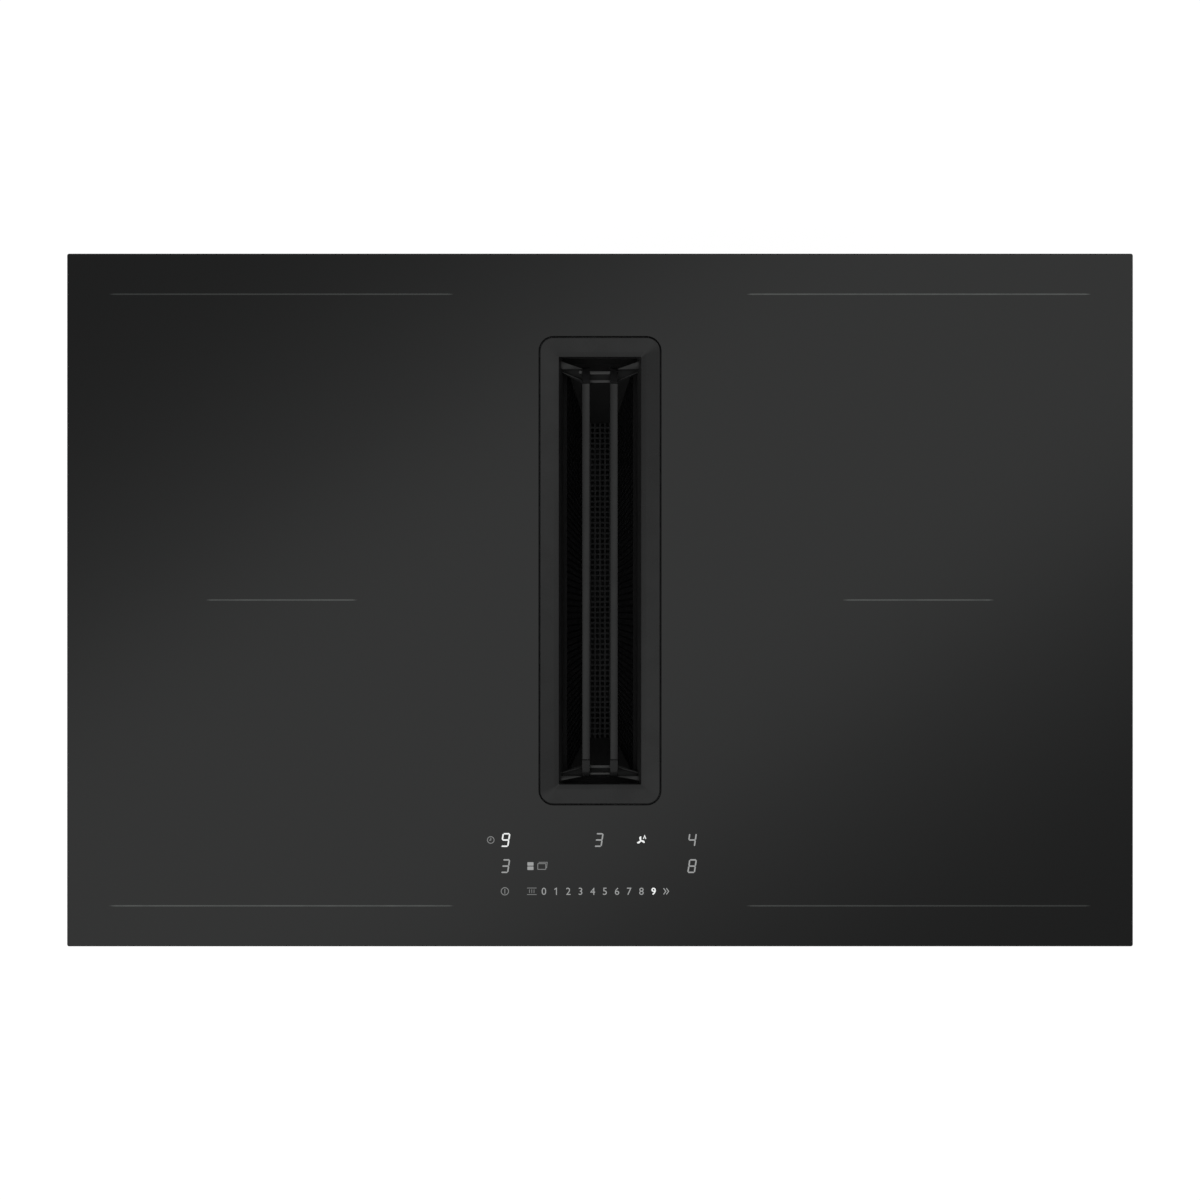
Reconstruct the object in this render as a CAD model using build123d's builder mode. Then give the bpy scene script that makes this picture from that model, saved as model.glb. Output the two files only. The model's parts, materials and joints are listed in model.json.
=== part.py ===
"""Downdraft induction cooktop, 800 mm wide, with the extractor built into its middle.

The origin lies in the middle of the glass, on the worktop: Z = 0 is the worktop's surface, which
the seal under the glass rests on. X runs to the right and Y to the back, away from the cook.
All sizes are in millimetres.
"""
import os
from math import cos, degrees, radians, sin

from build123d import *

os.makedirs("parts", exist_ok=True)

# ------------------------------------------------------------------ glass, seal and casing
glass_width = 800
glass_depth = 520
glass_thickness = 4
glass_corner = 1.5
glass_bevel = 0.7
seal_thickness = 2
seal_width = 10
seal_inset = 3
seal_corner = 4
cutout_gap = 1.0
cutout_bevel = 0.5

glass_overhang = 20
casing_height = 52
casing_wall = 1.0
casing_corner = 8
casing_lap = 6
frame_sheet = 1.2
frame_flange = 12
frame_leg = 14

# ------------------------------------------------------------------ cover grille
grille_width = 90
grille_length = 350
grille_corner = 10
grille_back = 22
grille_rim_height = 6
grille_opening_width = 61.6
grille_opening_length = 320.8
grille_dish = 0.9
grille_lip_width = 3.5
grille_lip_drop = 0.9
grille_skirt_depth = 18
grille_skirt_draft = 2.8
grille_skirt_wall = 2.0
bar_width = 6
bar_height = 8
bar_spacing = 21
bar_straight = 281.4
bar_bend = 14.7
bar_drop = 1.0
brace_inner = 141.8
brace_width = 7.9
brace_sweep = 7.3
brace_depth = 7
brace_lip = 1.9
brace_floor = 2

# ------------------------------------------------------------------ intake duct and filter
duct_flange_width = 12
duct_seal = 1.0
duct_seal_gap = 2
duct_flange = 2
duct_wall = 2.5
grille_ledge = 9
filter_ledge = 5
filter_ledge_depth = 22
duct_draft = 1.0
duct_bottom = 96
filter_gap = 1.0
filter_rim_width = 6
filter_rim = 1.5
filter_top_width = 52
filter_floor_width = 22
filter_depth = 62
filter_floor_back = 112
filter_floor_front = 128
filter_sheet = 1.0
mesh_pitch = 8
mesh_wire = 1.6
slot_pitch = 16
slot_width = 11
slot_margin = 9

# ------------------------------------------------------------------ induction units
coil_side_gap = 10
coil_end_gap = 6
coil_corner = 70
coil_hole = 56
coil_thickness = 5
coil_gap = 18
mica_thickness = 0.8
former_lip = 4
former_plate = 2
ferrite_count = 8
ferrite_length = 56
ferrite_width = 14
ferrite_height = 5
tray_sheet = 1.5
tray_side_gap = 27
tray_end_gap = 17
tray_fold = 6
sensor_diameter = 12
sensor_cap = 2
post_width = 24
post_depth = 30

# ------------------------------------------------------------------ electronics
board_width = 190
board_depth = 230
board_thickness = 1.6
board_clearance = 6
pillar_diameter = 7
pillar_inset = 6
board_wall_gap = 35
board_front_gap = 57
component_offset = 28
blocks_fitted = [((22, 30), 18, -60), ((30, 40), 22, 70)]
cans_fitted = [(24, 22, -96), (30, 16, 10)]
sink_width = 60
sink_depth = 200
sink_height = 24
sink_base = 4
fin_count = 9
fin_thickness = 1.5
cooler_size = 60
cooler_height = 22
cooler_bore = 57
cooler_wall_gap = 8
cooler_back_gap = 90
cooler_hub = 24
cooler_blades = 7
cooler_tip_gap = 1.5
cooler_chord = 14
cooler_pitch = 50
cooler_axle = 4
cooler_axle_length = 10
cooler_strut = 3
cooler_corner = 4
cooler_blade = 1.6
control_width = 204
control_depth = 54
control_middle_x = -16
control_front_gap = 13
control_drop = 9
control_rim = 4
control_gap = 3
touch_pad = 9
touch_pitch = 16
touch_count = 11
touch_row = -18
digit_window = 20
digit_pitch = 48
digit_count = 4
digit_row = 12
terminal_width = 56
terminal_depth = 34
terminal_height = 22
gland_diameter = 20
gland_nut_diameter = 28
gland_length = 20
gland_reach = 6
cable_diameter = 12

# ------------------------------------------------------------------ extractor
box_side_gap = 18
box_depth = 350
box_left_reach = 100
box_corner = 9
mount_inset = 24
box_wall = 2.5
box_bevel = 6
box_bottom = 194
mount_height = 5
mount_diameter = 18
mount_screw = 5.5
mount_head = 3
screw_gap = 0.4
lid_thickness = 3
lid_collar = 4
scroll_middle_x = 165
scroll_middle_y = 12
scroll_radius = 90
scroll_growth = 9
scroll_wall = 2.5
scroll_bottom = 163
tongue_angle = 115
duct_throat_y = 150
outlet_width = 222
outlet_height = 89
outlet_wall = 2.5
outlet_length = 49
outlet_flange = 12
outlet_corner = 6
outlet_top = 66
wheel_diameter = 160
wheel_top = 88
wheel_height = 62
wheel_plate = 2
wheel_inlet = 112
bell_radius = 12
bell_overlap = 4
wheel_blades = 9
blade_thickness = 1.8
shaft_diameter = 8
running_gap = 0.05
stator_diameter = 58
stator_height = 18
rotor_diameter = 70
rotor_wall = 2
rotor_height = 30
bearing_diameter = 16
flap_gap = 1.5
flap_thickness = 2
flap_shaft = 6
flap_shaft_setback = 8
tray_basin_width = 124
tray_basin_length = 294
tray_basin_height = 42
tray_wall = 2
tray_gap = 1.0
tray_rim = 9
tray_plate = 3
tray_corner = 7
clamp_plate = 3
clamp_length = 36
clamp_width = 24
clamp_offset = 3.9
clamp_inset = 50
clamp_screw = 4
clamp_lift = 30
clamp_reach = 15.5
clamp_wall = 1
clamp_head = 7
clamp_dog_height = 6

# ------------------------------------------------------------------ heights worked out
glass_bottom = seal_thickness
glass_top = glass_bottom + glass_thickness
casing_width = glass_width - 2 * glass_overhang
casing_depth = glass_depth - 2 * glass_overhang
tray_inner_x = control_width / 2 + control_rim + control_gap - control_middle_x
tray_width = casing_width / 2 - tray_side_gap - tray_inner_x
coil_width = tray_width - 2 * coil_side_gap
board_middle_x = casing_width / 2 - board_wall_gap - board_width / 2
cooler_middle_x = casing_width / 2 - cooler_wall_gap - cooler_size / 2
tray_depth = casing_depth - 2 * tray_end_gap
coil_depth = (tray_depth - coil_gap - 2 * coil_end_gap) / 2 - 2 * former_lip
board_middle_y = -casing_depth / 2 + board_front_gap + board_depth / 2
cooler_middle_y = casing_depth / 2 - cooler_back_gap - cooler_size / 2
control_middle_y = -casing_depth / 2 + control_front_gap + control_depth / 2
casing_top = glass_bottom - frame_sheet
casing_bottom = -casing_height
casing_floor = casing_bottom + casing_wall
rim_bottom = glass_top - grille_rim_height
mica_bottom = glass_bottom - mica_thickness
coil_bottom = mica_bottom - coil_thickness
former_bottom = coil_bottom - former_plate
ferrite_bottom = former_bottom - ferrite_height
tray_bottom = ferrite_bottom - tray_sheet
board_bottom = casing_floor + board_clearance
board_top = board_bottom + board_thickness
lid_top = casing_bottom - mount_height
lid_bottom = lid_top - lid_thickness
scroll_cover_bottom = -scroll_bottom - lid_thickness
outlet_middle = -outlet_top - outlet_height / 2
box_back = grille_back + box_depth / 2
volute_reach = scroll_radius + 3 * scroll_growth
box_width = box_left_reach + scroll_middle_x + volute_reach + box_side_gap
box_middle_x = box_width / 2 - box_left_reach


def save(piece: BuildPart, node: str) -> None:
    """Label a finished piece and write it under its own name."""
    piece.part.label = node
    export_step(piece.part, f"parts/{node}.step")


def block(width, depth, bottom, top, at=(0, 0), radius=0, mode=Mode.ADD) -> None:
    """Extrude a rectangle, with rounded corners where a radius is given, between two heights."""
    with BuildSketch(Plane.XY.offset(bottom)) as outline:
        with Locations(at):
            if radius:
                RectangleRounded(width, depth, radius)
            else:
                Rectangle(width, depth)
    extrude(outline.sketch, amount=top - bottom, mode=mode)


def disc(diameter, bottom, top, at=(0, 0), mode=Mode.ADD) -> None:
    """Extrude a circle between two heights."""
    with BuildSketch(Plane.XY.offset(bottom)) as outline:
        with Locations(at):
            Circle(diameter / 2)
    extrude(outline.sketch, amount=top - bottom, mode=mode)


def stud(diameter, bottom, top, at=(0, 0), sides=8, mode=Mode.ADD) -> None:
    """Extrude a small round or hexagonal piece of hardware as a prism between two heights."""
    with BuildSketch(Plane.XY.offset(bottom)) as outline:
        with Locations(at):
            RegularPolygon(diameter / 2, sides)
    extrude(outline.sketch, amount=top - bottom, mode=mode)


def funnel(upper, lower, top, bottom, at=(0, 0), mode=Mode.ADD) -> None:
    """Loft straight walls between two rectangles, each a width and a depth."""
    with BuildSketch(Plane.XY.offset(top)) as mouth:
        with Locations(at):
            Rectangle(*upper)
    with BuildSketch(Plane.XY.offset(bottom)) as foot:
        with Locations(at):
            Rectangle(*lower)
    loft([mouth.sketch, foot.sketch], ruled=True, mode=mode)


# ================================================================== glass and worktop seal
grille_at = (0, grille_back)
cutout_width = grille_width + 2 * cutout_gap
cutout_length = grille_length + 2 * cutout_gap
cutout_corner = grille_corner + cutout_gap

with BuildPart() as glass_panel:
    block(glass_width, glass_depth, glass_bottom, glass_top, radius=glass_corner)
    chamfer(glass_panel.faces().sort_by(Axis.Z)[-1].edges(), length=glass_bevel)
    block(cutout_width, cutout_length, glass_bottom, glass_top, grille_at, cutout_corner, Mode.SUBTRACT)
    cutout_edges = glass_panel.faces().sort_by(Axis.Z)[-1].inner_wires()[0].edges()
    chamfer(cutout_edges, length=cutout_bevel)
save(glass_panel, "glass_panel")

seal_outer = (glass_width - 2 * seal_inset, glass_depth - 2 * seal_inset)
with BuildPart() as worktop_seal:
    block(*seal_outer, 0, seal_thickness, radius=seal_corner)
    block(seal_outer[0] - 2 * seal_width, seal_outer[1] - 2 * seal_width, 0, seal_thickness,
          mode=Mode.SUBTRACT)
save(worktop_seal, "worktop_seal")

# ================================================================== casing
# The frame is an angle section, bonded under the glass, that the casing is screwed into.
frame_width = casing_width + 2 * frame_sheet
frame_depth = casing_depth + 2 * frame_sheet
with BuildPart() as glass_frame:
    block(frame_width, frame_depth, casing_top - frame_leg, glass_bottom, radius=casing_corner + frame_sheet)
    block(casing_width, casing_depth, casing_top - frame_leg, casing_top, radius=casing_corner,
          mode=Mode.SUBTRACT)
    block(casing_width - 2 * frame_flange, casing_depth - 2 * frame_flange, casing_top, glass_bottom,
          mode=Mode.SUBTRACT)
save(glass_frame, "glass_frame")

throat_width = grille_width - 2 * grille_ledge
throat_length = grille_length - 2 * grille_ledge
throat_outer = (throat_width + 2 * duct_wall, throat_length + 2 * duct_wall)
collar_gap = 1.5
collar_height = 6
mount_x = box_width / 2 - mount_inset
mount_y = box_depth / 2 - mount_inset
mount_places = [
    (box_middle_x + sx * mount_x, grille_back + sy * mount_y) for sx in (-1, 1) for sy in (-1, 1)
]
vent_length = 51
vent_slots = 5
vent_pitch = 11
vent_slot = 6
louvre_pitch = 20
louvre_bridge = 4
louvre_height = 8
louvre_count = 8
louvre_rise = 16
gland_rise = 16
gland_side = 92
terminal_back = 40
gland_x = -casing_width / 2 + gland_side
gland_z = casing_floor + gland_rise

with BuildPart() as casing_base:
    block(casing_width, casing_depth, casing_bottom, casing_floor, radius=casing_corner)
    # The upstand round the intake duct keeps spilt water off the boards.
    collar = (throat_outer[0] + 2 * collar_gap, throat_outer[1] + 2 * collar_gap)
    collar_outer = (collar[0] + 2 * casing_wall, collar[1] + 2 * casing_wall)
    block(*collar_outer, casing_floor, casing_floor + collar_height, grille_at)
    block(*collar, casing_bottom, casing_floor + collar_height, grille_at, mode=Mode.SUBTRACT)
    for side in (-1, 1):
        # Air is drawn in under each cooling fan.
        with BuildSketch(Plane.XY.offset(casing_bottom)) as vents:
            with Locations((side * cooler_middle_x, cooler_middle_y)):
                with GridLocations(1, vent_pitch, 1, vent_slots):
                    Rectangle(vent_length, vent_slot)
        extrude(vents.sketch, amount=casing_wall, mode=Mode.SUBTRACT)
    for place in mount_places:
        stud(mount_screw + 2 * screw_gap, casing_bottom, casing_floor, place, mode=Mode.SUBTRACT)
save(casing_base, "casing_base")

with BuildPart() as casing_sides:
    inside_width = casing_width - 2 * casing_wall
    inside_depth = casing_depth - 2 * casing_wall
    block(casing_width, casing_depth, casing_floor, casing_top, radius=casing_corner)
    block(inside_width, inside_depth, casing_floor + casing_wall, casing_top,
          radius=casing_corner - casing_wall, mode=Mode.SUBTRACT)
    block(inside_width - 2 * casing_lap, inside_depth - 2 * casing_lap, casing_floor,
          casing_floor + casing_wall, mode=Mode.SUBTRACT)
    for side in (-1, 1):
        # The air leaves by the slots in the front wall.
        with BuildSketch(Plane.XZ.offset(casing_depth / 2 - casing_wall)) as louvres:
            with Locations((side * board_middle_x, casing_floor + louvre_rise)):
                with GridLocations(louvre_pitch, 1, louvre_count, 1):
                    Rectangle(louvre_pitch - louvre_bridge, louvre_height)
        extrude(louvres.sketch, amount=casing_wall, mode=Mode.SUBTRACT)
    with BuildSketch(Plane.XZ.offset(-casing_depth / 2)) as gland_hole:
        with Locations((gland_x, gland_z)):
            Circle(gland_diameter / 2)
    extrude(gland_hole.sketch, amount=casing_wall, mode=Mode.SUBTRACT)
save(casing_sides, "casing_sides")

# ================================================================== cover grille
skirt_bottom = glass_top - grille_skirt_depth
lip_top = glass_top - grille_dish
opening = (grille_opening_width, grille_opening_length)
lip = (opening[0] + 2 * grille_lip_width, opening[1] + 2 * grille_lip_width)
skirt_foot = (opening[0] - 2 * grille_skirt_draft, opening[1] - 2 * grille_skirt_draft)
skirt_mouth = (opening[0] + 2 * grille_skirt_wall, opening[1] + 2 * grille_skirt_wall)
skirt_outer_foot = (skirt_foot[0] + 2 * grille_skirt_wall, skirt_foot[1] + 2 * grille_skirt_wall)
bar_top = glass_top - bar_drop
bar_end = bar_straight / 2 + bar_bend
bar_foot = bar_top - bar_bend - bar_height / 2
brace_bottom = bar_foot
half_bars = bar_spacing / 2 + bar_width / 2
half_foot = skirt_foot[0] / 2 + 1


def brace_outline(inset: float, end: int) -> None:
    """Draw a brace's outline in plan: straight behind the bars, swept to the corners at its ends."""
    inner = grille_back + end * (brace_inner + inset)
    outer = grille_back + end * (brace_inner + brace_width - inset)
    swept = end * brace_sweep
    with BuildLine() as outline:
        Polyline(
            (-half_foot, inner + swept), (-half_bars, inner), (half_bars, inner), (half_foot, inner + swept),
            (half_foot, outer + swept), (half_bars, outer), (-half_bars, outer), (-half_foot, outer + swept),
            close=True)
    make_face(outline.edges())


with BuildPart() as cover_grille:
    block(grille_width, grille_length, rim_bottom, glass_top, grille_at, grille_corner)
    funnel(skirt_mouth, skirt_outer_foot, rim_bottom, skirt_bottom, grille_at)
    # The rim falls gently towards the opening, and more steeply over its last few millimetres.
    funnel((grille_width - 1, grille_length - 1), lip, glass_top, lip_top, grille_at, Mode.SUBTRACT)
    funnel(lip, opening, lip_top, lip_top - grille_lip_drop, grille_at, Mode.SUBTRACT)
    funnel(opening, opening, lip_top, rim_bottom, grille_at, Mode.SUBTRACT)
    funnel(opening, skirt_foot, rim_bottom, skirt_bottom, grille_at, Mode.SUBTRACT)
    for side in (-1, 1):
        with BuildSketch(Plane.YZ.offset(side * bar_spacing / 2)) as bar_profile:
            with BuildLine():
                Polyline(
                    (grille_back, bar_top), (grille_back + bar_straight / 2, bar_top))
                RadiusArc((grille_back + bar_straight / 2, bar_top),
                          (grille_back + bar_end, bar_top - bar_bend), bar_bend)
                Polyline(
                    (grille_back + bar_end, bar_top - bar_bend), (grille_back + bar_end, bar_foot),
                    (grille_back + bar_end - bar_height, bar_foot),
                    (grille_back + bar_end - bar_height, bar_top - bar_bend))
                RadiusArc((grille_back + bar_end - bar_height, bar_top - bar_bend),
                          (grille_back + bar_straight / 2, bar_top - bar_height), -(bar_bend - bar_height))
                Polyline((grille_back + bar_straight / 2, bar_top - bar_height),
                         (grille_back, bar_top - bar_height), (grille_back, bar_top))
            make_face()
            mirror(about=Plane.YZ.offset(grille_back))
        extrude(bar_profile.sketch, amount=bar_width / 2, both=True)
    for end in (-1, 1):
        with BuildSketch(Plane.XY.offset(brace_bottom)) as brace:
            brace_outline(0, end)
        extrude(brace.sketch, amount=brace_depth)
        with BuildSketch(Plane.XY.offset(brace_bottom + brace_floor)) as pocket:
            brace_outline(brace_lip, end)
        extrude(pocket.sketch, amount=brace_depth, mode=Mode.SUBTRACT)
save(cover_grille, "cover_grille")

# ================================================================== intake duct
duct_top = glass_bottom - duct_seal
flange_outer = (cutout_width + 2 * duct_flange_width, cutout_length + 2 * duct_flange_width)
duct_flange_bottom = rim_bottom - duct_flange
filter_seat = rim_bottom - filter_ledge_depth
lower_width = throat_width - 2 * filter_ledge - 2 * duct_draft
lower_length = throat_length - 2 * filter_ledge - 2 * duct_draft
lower_mouth = (lower_width, lower_length)
lower_foot = (lower_width - 2 * duct_draft, lower_length - 2 * duct_draft)
throat_foot = (throat_width - 2 * duct_draft, throat_length - 2 * duct_draft)


def walled(size) -> tuple:
    """Give the outer size of a duct from its inner size."""
    return (size[0] + 2 * duct_wall, size[1] + 2 * duct_wall)


with BuildPart() as intake_seal:
    block(*flange_outer, duct_top, glass_bottom, grille_at, cutout_corner + duct_flange_width)
    block(cutout_width + 2 * duct_seal_gap, cutout_length + 2 * duct_seal_gap, duct_top, glass_bottom,
          grille_at, cutout_corner + duct_seal_gap, Mode.SUBTRACT)
save(intake_seal, "intake_seal")

with BuildPart() as intake_duct:
    block(*flange_outer, duct_flange_bottom, duct_top, grille_at, cutout_corner + duct_flange_width)
    block(*walled(throat_foot), filter_seat - duct_wall, duct_flange_bottom, grille_at)
    funnel(walled(lower_mouth), walled(lower_foot), filter_seat - duct_wall, -duct_bottom, grille_at)
    block(cutout_width, cutout_length, rim_bottom, duct_top, grille_at, cutout_corner, Mode.SUBTRACT)
    funnel((throat_width, throat_length), throat_foot, rim_bottom, filter_seat, grille_at, Mode.SUBTRACT)
    funnel(lower_mouth, lower_foot, filter_seat, -duct_bottom, grille_at, Mode.SUBTRACT)
save(intake_duct, "intake_duct")

# ================================================================== grease filter
# A sheet-metal frame carries a trough of mesh, which tapers to a narrow floor.
filter_width = throat_foot[0] - 2 * filter_gap
filter_length = throat_foot[1] - 2 * filter_gap
filter_top = filter_seat + filter_rim
filter_bottom = filter_seat - filter_depth
basket_length = filter_length - 2 * filter_rim_width
side_middle_z = (filter_seat + filter_bottom) / 2
floor_length = filter_floor_back + filter_floor_front
floor_middle_y = grille_back + (filter_floor_back - filter_floor_front) / 2


def trough(width_cut: float, top: float, bottom: float, mode=Mode.ADD) -> None:
    """Loft the trough's block, made narrower all round by a cut, between two heights."""
    with BuildSketch(Plane.XY.offset(top)) as mouth:
        with Locations(grille_at):
            Rectangle(filter_top_width - 2 * width_cut, basket_length - 2 * width_cut)
    with BuildSketch(Plane.XY.offset(bottom)) as floor:
        with Locations((0, floor_middle_y)):
            Rectangle(filter_floor_width - 2 * width_cut, floor_length - 2 * width_cut)
    loft([mouth.sketch, floor.sketch], ruled=True, mode=mode)


with BuildPart() as filter_frame:
    block(filter_width, filter_length, filter_seat, filter_top, grille_at)
    block(filter_top_width - 2 * filter_sheet, basket_length - 2 * filter_sheet, filter_seat, filter_top,
          grille_at, mode=Mode.SUBTRACT)
save(filter_frame, "filter_frame")

with BuildPart() as filter_basket:
    trough(0, filter_seat, filter_bottom)
    trough(filter_sheet, filter_seat, filter_bottom + filter_sheet, Mode.SUBTRACT)
    holes_across = int((filter_floor_width - 4) / mesh_pitch)
    holes_along = int((floor_length - 8) / mesh_pitch)
    with BuildSketch(Plane.XY.offset(filter_bottom)) as net:
        with Locations((0, floor_middle_y)):
            with GridLocations(mesh_pitch, mesh_pitch, holes_across, holes_along):
                Rectangle(mesh_pitch - mesh_wire, mesh_pitch - mesh_wire)
    extrude(net.sketch, amount=filter_sheet, mode=Mode.SUBTRACT)
    slots_along = int((floor_length - 16) / slot_pitch)
    with BuildSketch(Plane.YZ) as side_slots:
        with Locations((floor_middle_y, side_middle_z)):
            with GridLocations(slot_pitch, filter_depth, slots_along, 1):
                Rectangle(slot_width, filter_depth - 2 * slot_margin)
    extrude(side_slots.sketch, amount=filter_top_width / 2, both=True, mode=Mode.SUBTRACT)
save(filter_basket, "filter_basket")

# ================================================================== induction units
coil_apart_x = tray_width + 2 * tray_inner_x
coil_apart_y = coil_depth + 2 * former_lip + coil_gap
coil_places = {
    f"{row}_{side}": (sx * coil_apart_x / 2, sy * coil_apart_y / 2)
    for side, sx in (("left", -1), ("right", 1))
    for row, sy in (("front", -1), ("rear", 1))
}

for place_name, place in coil_places.items():
    with BuildPart() as winding:
        block(coil_width, coil_depth, coil_bottom, mica_bottom, place, coil_corner)
        disc(coil_hole, coil_bottom, mica_bottom, place, Mode.SUBTRACT)
    save(winding, f"coil_{place_name}")

    with BuildPart() as former:
        lip_size = 2 * former_lip
        block(coil_width + lip_size, coil_depth + lip_size, former_bottom, coil_bottom, place,
              coil_corner + former_lip)
        stud(sensor_diameter + 2 * former_lip, coil_bottom, mica_bottom - 1, place)
        stud(sensor_diameter + 1, former_bottom, mica_bottom - 1, place, mode=Mode.SUBTRACT)
    save(former, f"coil_former_{place_name}")

tray_places = [(sx * coil_apart_x / 2, 0) for sx in (-1, 1)]
sensor_hole = sensor_diameter + 1
with BuildPart() as mica_sheets:
    for place in tray_places:
        block(tray_width, tray_depth, mica_bottom, glass_bottom, place)
    for place in coil_places.values():
        stud(sensor_hole, mica_bottom, glass_bottom, place, mode=Mode.SUBTRACT)
save(mica_sheets, "mica_sheets")

ferrite_gap = 4
ferrite_ring = coil_hole / 2 + ferrite_length / 2 + ferrite_gap
with BuildPart() as ferrite_bars:
    for place in coil_places.values():
        with BuildSketch(Plane.XY.offset(ferrite_bottom)) as bars:
            with Locations(place):
                with PolarLocations(ferrite_ring, ferrite_count):
                    Rectangle(ferrite_length, ferrite_width)
        extrude(bars.sketch, amount=ferrite_height)
save(ferrite_bars, "ferrite_bars")

for side, tray_at in zip(("left", "right"), tray_places):
    with BuildPart() as coil_tray:
        block(tray_width, tray_depth, tray_bottom - tray_fold, ferrite_bottom, tray_at)
        block(tray_width - 2 * tray_sheet, tray_depth - 2 * tray_sheet, tray_bottom - tray_fold, tray_bottom,
              tray_at, mode=Mode.SUBTRACT)
        for sy in (-1, 1):
            stud(sensor_hole, tray_bottom, ferrite_bottom, (tray_at[0], sy * coil_apart_y / 2),
                 mode=Mode.SUBTRACT)
    save(coil_tray, f"coil_tray_{side}")

# Sprung sheet posts at the trays' corners press the coils up against the glass.
with BuildPart() as tray_posts:
    for tray_at in tray_places:
        with BuildSketch(Plane.XY.offset(casing_floor)) as post_feet:
            with Locations(tray_at):
                with GridLocations(tray_width - 2 * tray_sheet - post_width,
                                   tray_depth - 2 * tray_sheet - post_depth, 2, 2):
                    Rectangle(post_width, post_depth)
        extrude(post_feet.sketch, amount=tray_bottom - casing_floor)
        with BuildSketch(Plane.XY.offset(casing_floor + tray_sheet)) as post_windows:
            with Locations(tray_at):
                with GridLocations(tray_width - 2 * tray_sheet - post_width,
                                   tray_depth - 2 * tray_sheet - post_depth, 2, 2):
                    Rectangle(post_width, post_depth - 2 * tray_sheet)
        extrude(post_windows.sketch, amount=tray_bottom - casing_floor - 2 * tray_sheet, mode=Mode.SUBTRACT)
save(tray_posts, "tray_posts")

with BuildPart() as temperature_sensors:
    for place in coil_places.values():
        stud(sensor_diameter, tray_bottom, glass_bottom, place)
        stud(sensor_diameter + 2 * sensor_cap, tray_bottom - 2 * sensor_cap, tray_bottom, place)
save(temperature_sensors, "temperature_sensors")

# ================================================================== electronics
for side, sx in (("left", -1), ("right", 1)):
    board_at = (sx * board_middle_x, board_middle_y)
    with BuildPart() as power_board:
        block(board_width, board_depth, board_bottom, board_top, board_at)
        with BuildSketch(Plane.XY.offset(casing_floor)) as pillars:
            with Locations(board_at):
                with GridLocations(board_width - 2 * pillar_inset, board_depth - 2 * pillar_inset, 2, 2):
                    RegularPolygon(pillar_diameter / 2, 6)
        extrude(pillars.sketch, amount=board_clearance)
    save(power_board, f"power_board_{side}")

    sink_at = (sx * board_middle_x, board_middle_y)
    with BuildPart() as heat_sink:
        block(sink_width, sink_depth, board_top, board_top + sink_base, sink_at)
        fin_pitch = (sink_width - fin_thickness) / (fin_count - 1)
        with BuildSketch(Plane.XY.offset(board_top + sink_base)) as fins:
            with Locations(sink_at):
                with GridLocations(fin_pitch, 1, fin_count, 1):
                    Rectangle(fin_thickness, sink_depth)
        extrude(fins.sketch, amount=sink_height - sink_base)
    save(heat_sink, f"heat_sink_{side}")

    with BuildPart() as components:
        for column in (-1, 1):
            part_x = sink_at[0] + column * (sink_width / 2 + component_offset)
            for part_size, rise, part_y in blocks_fitted:
                block(*part_size, board_top, board_top + rise, (part_x, board_middle_y + part_y))
            for diameter, rise, part_y in cans_fitted:
                stud(diameter, board_top, board_top + rise, (part_x, board_middle_y + part_y), sides=12)
    save(components, f"power_components_{side}")

    cooler_at = (sx * cooler_middle_x, cooler_middle_y)
    cooler_top = casing_floor + cooler_height
    axle_top = casing_floor + cooler_axle_length
    with BuildPart() as cooler_frame:
        block(cooler_size, cooler_size, casing_floor, cooler_top, cooler_at, cooler_corner)
        stud(cooler_bore, casing_floor, cooler_top, cooler_at, 32, Mode.SUBTRACT)
        with BuildSketch(Plane.XY.offset(casing_floor)) as struts:
            with Locations(cooler_at):
                with PolarLocations(cooler_bore / 4, 4, start_angle=45):
                    Rectangle(cooler_bore / 2 + 2, cooler_strut)
        extrude(struts.sketch, amount=cooler_strut)
        stud(cooler_hub, casing_floor, casing_floor + cooler_strut, cooler_at, 24)
        disc(cooler_axle, casing_floor, axle_top, cooler_at)
    save(cooler_frame, f"cooler_frame_{side}")

    with BuildPart() as cooler_rotor:
        rotor_bottom = casing_floor + cooler_strut + 1
        stud(cooler_hub, rotor_bottom, cooler_top - 1, cooler_at, 24)
        disc(cooler_axle + 2 * running_gap, rotor_bottom, axle_top + 1, cooler_at, Mode.SUBTRACT)
        # Each blade is a flat slab, pitched against the way round.
        blade_root = cooler_hub / 2 - 1
        blade_reach = cooler_bore / 2 - cooler_tip_gap - blade_root
        blade_middle_z = (rotor_bottom + cooler_top) / 2
        for turn in range(cooler_blades):
            angle = 360 * turn / cooler_blades
            root_plane = Plane(
                origin=(cooler_at[0] + blade_root * cos(radians(angle)),
                        cooler_at[1] + blade_root * sin(radians(angle)), blade_middle_z),
                x_dir=(-sin(radians(angle)), cos(radians(angle)), 0),
                z_dir=(cos(radians(angle)), sin(radians(angle)), 0))
            with BuildSketch(root_plane) as blade_section:
                Rectangle(cooler_chord, cooler_blade, rotation=cooler_pitch)
            extrude(blade_section.sketch, amount=blade_reach)
    save(cooler_rotor, f"cooler_rotor_{side}")

terminal_at = (gland_x, casing_depth / 2 - terminal_back)
with BuildPart() as terminal_block:
    block(terminal_width, terminal_depth, casing_floor, casing_floor + terminal_height, terminal_at, 2)
    with BuildSketch(Plane.XY.offset(casing_floor + terminal_height)) as ways:
        with Locations(terminal_at):
            with GridLocations(9, 18, 5, 2):
                Rectangle(6, 8)
    extrude(ways.sketch, amount=-8, mode=Mode.SUBTRACT)
save(terminal_block, "terminal_block")

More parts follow.
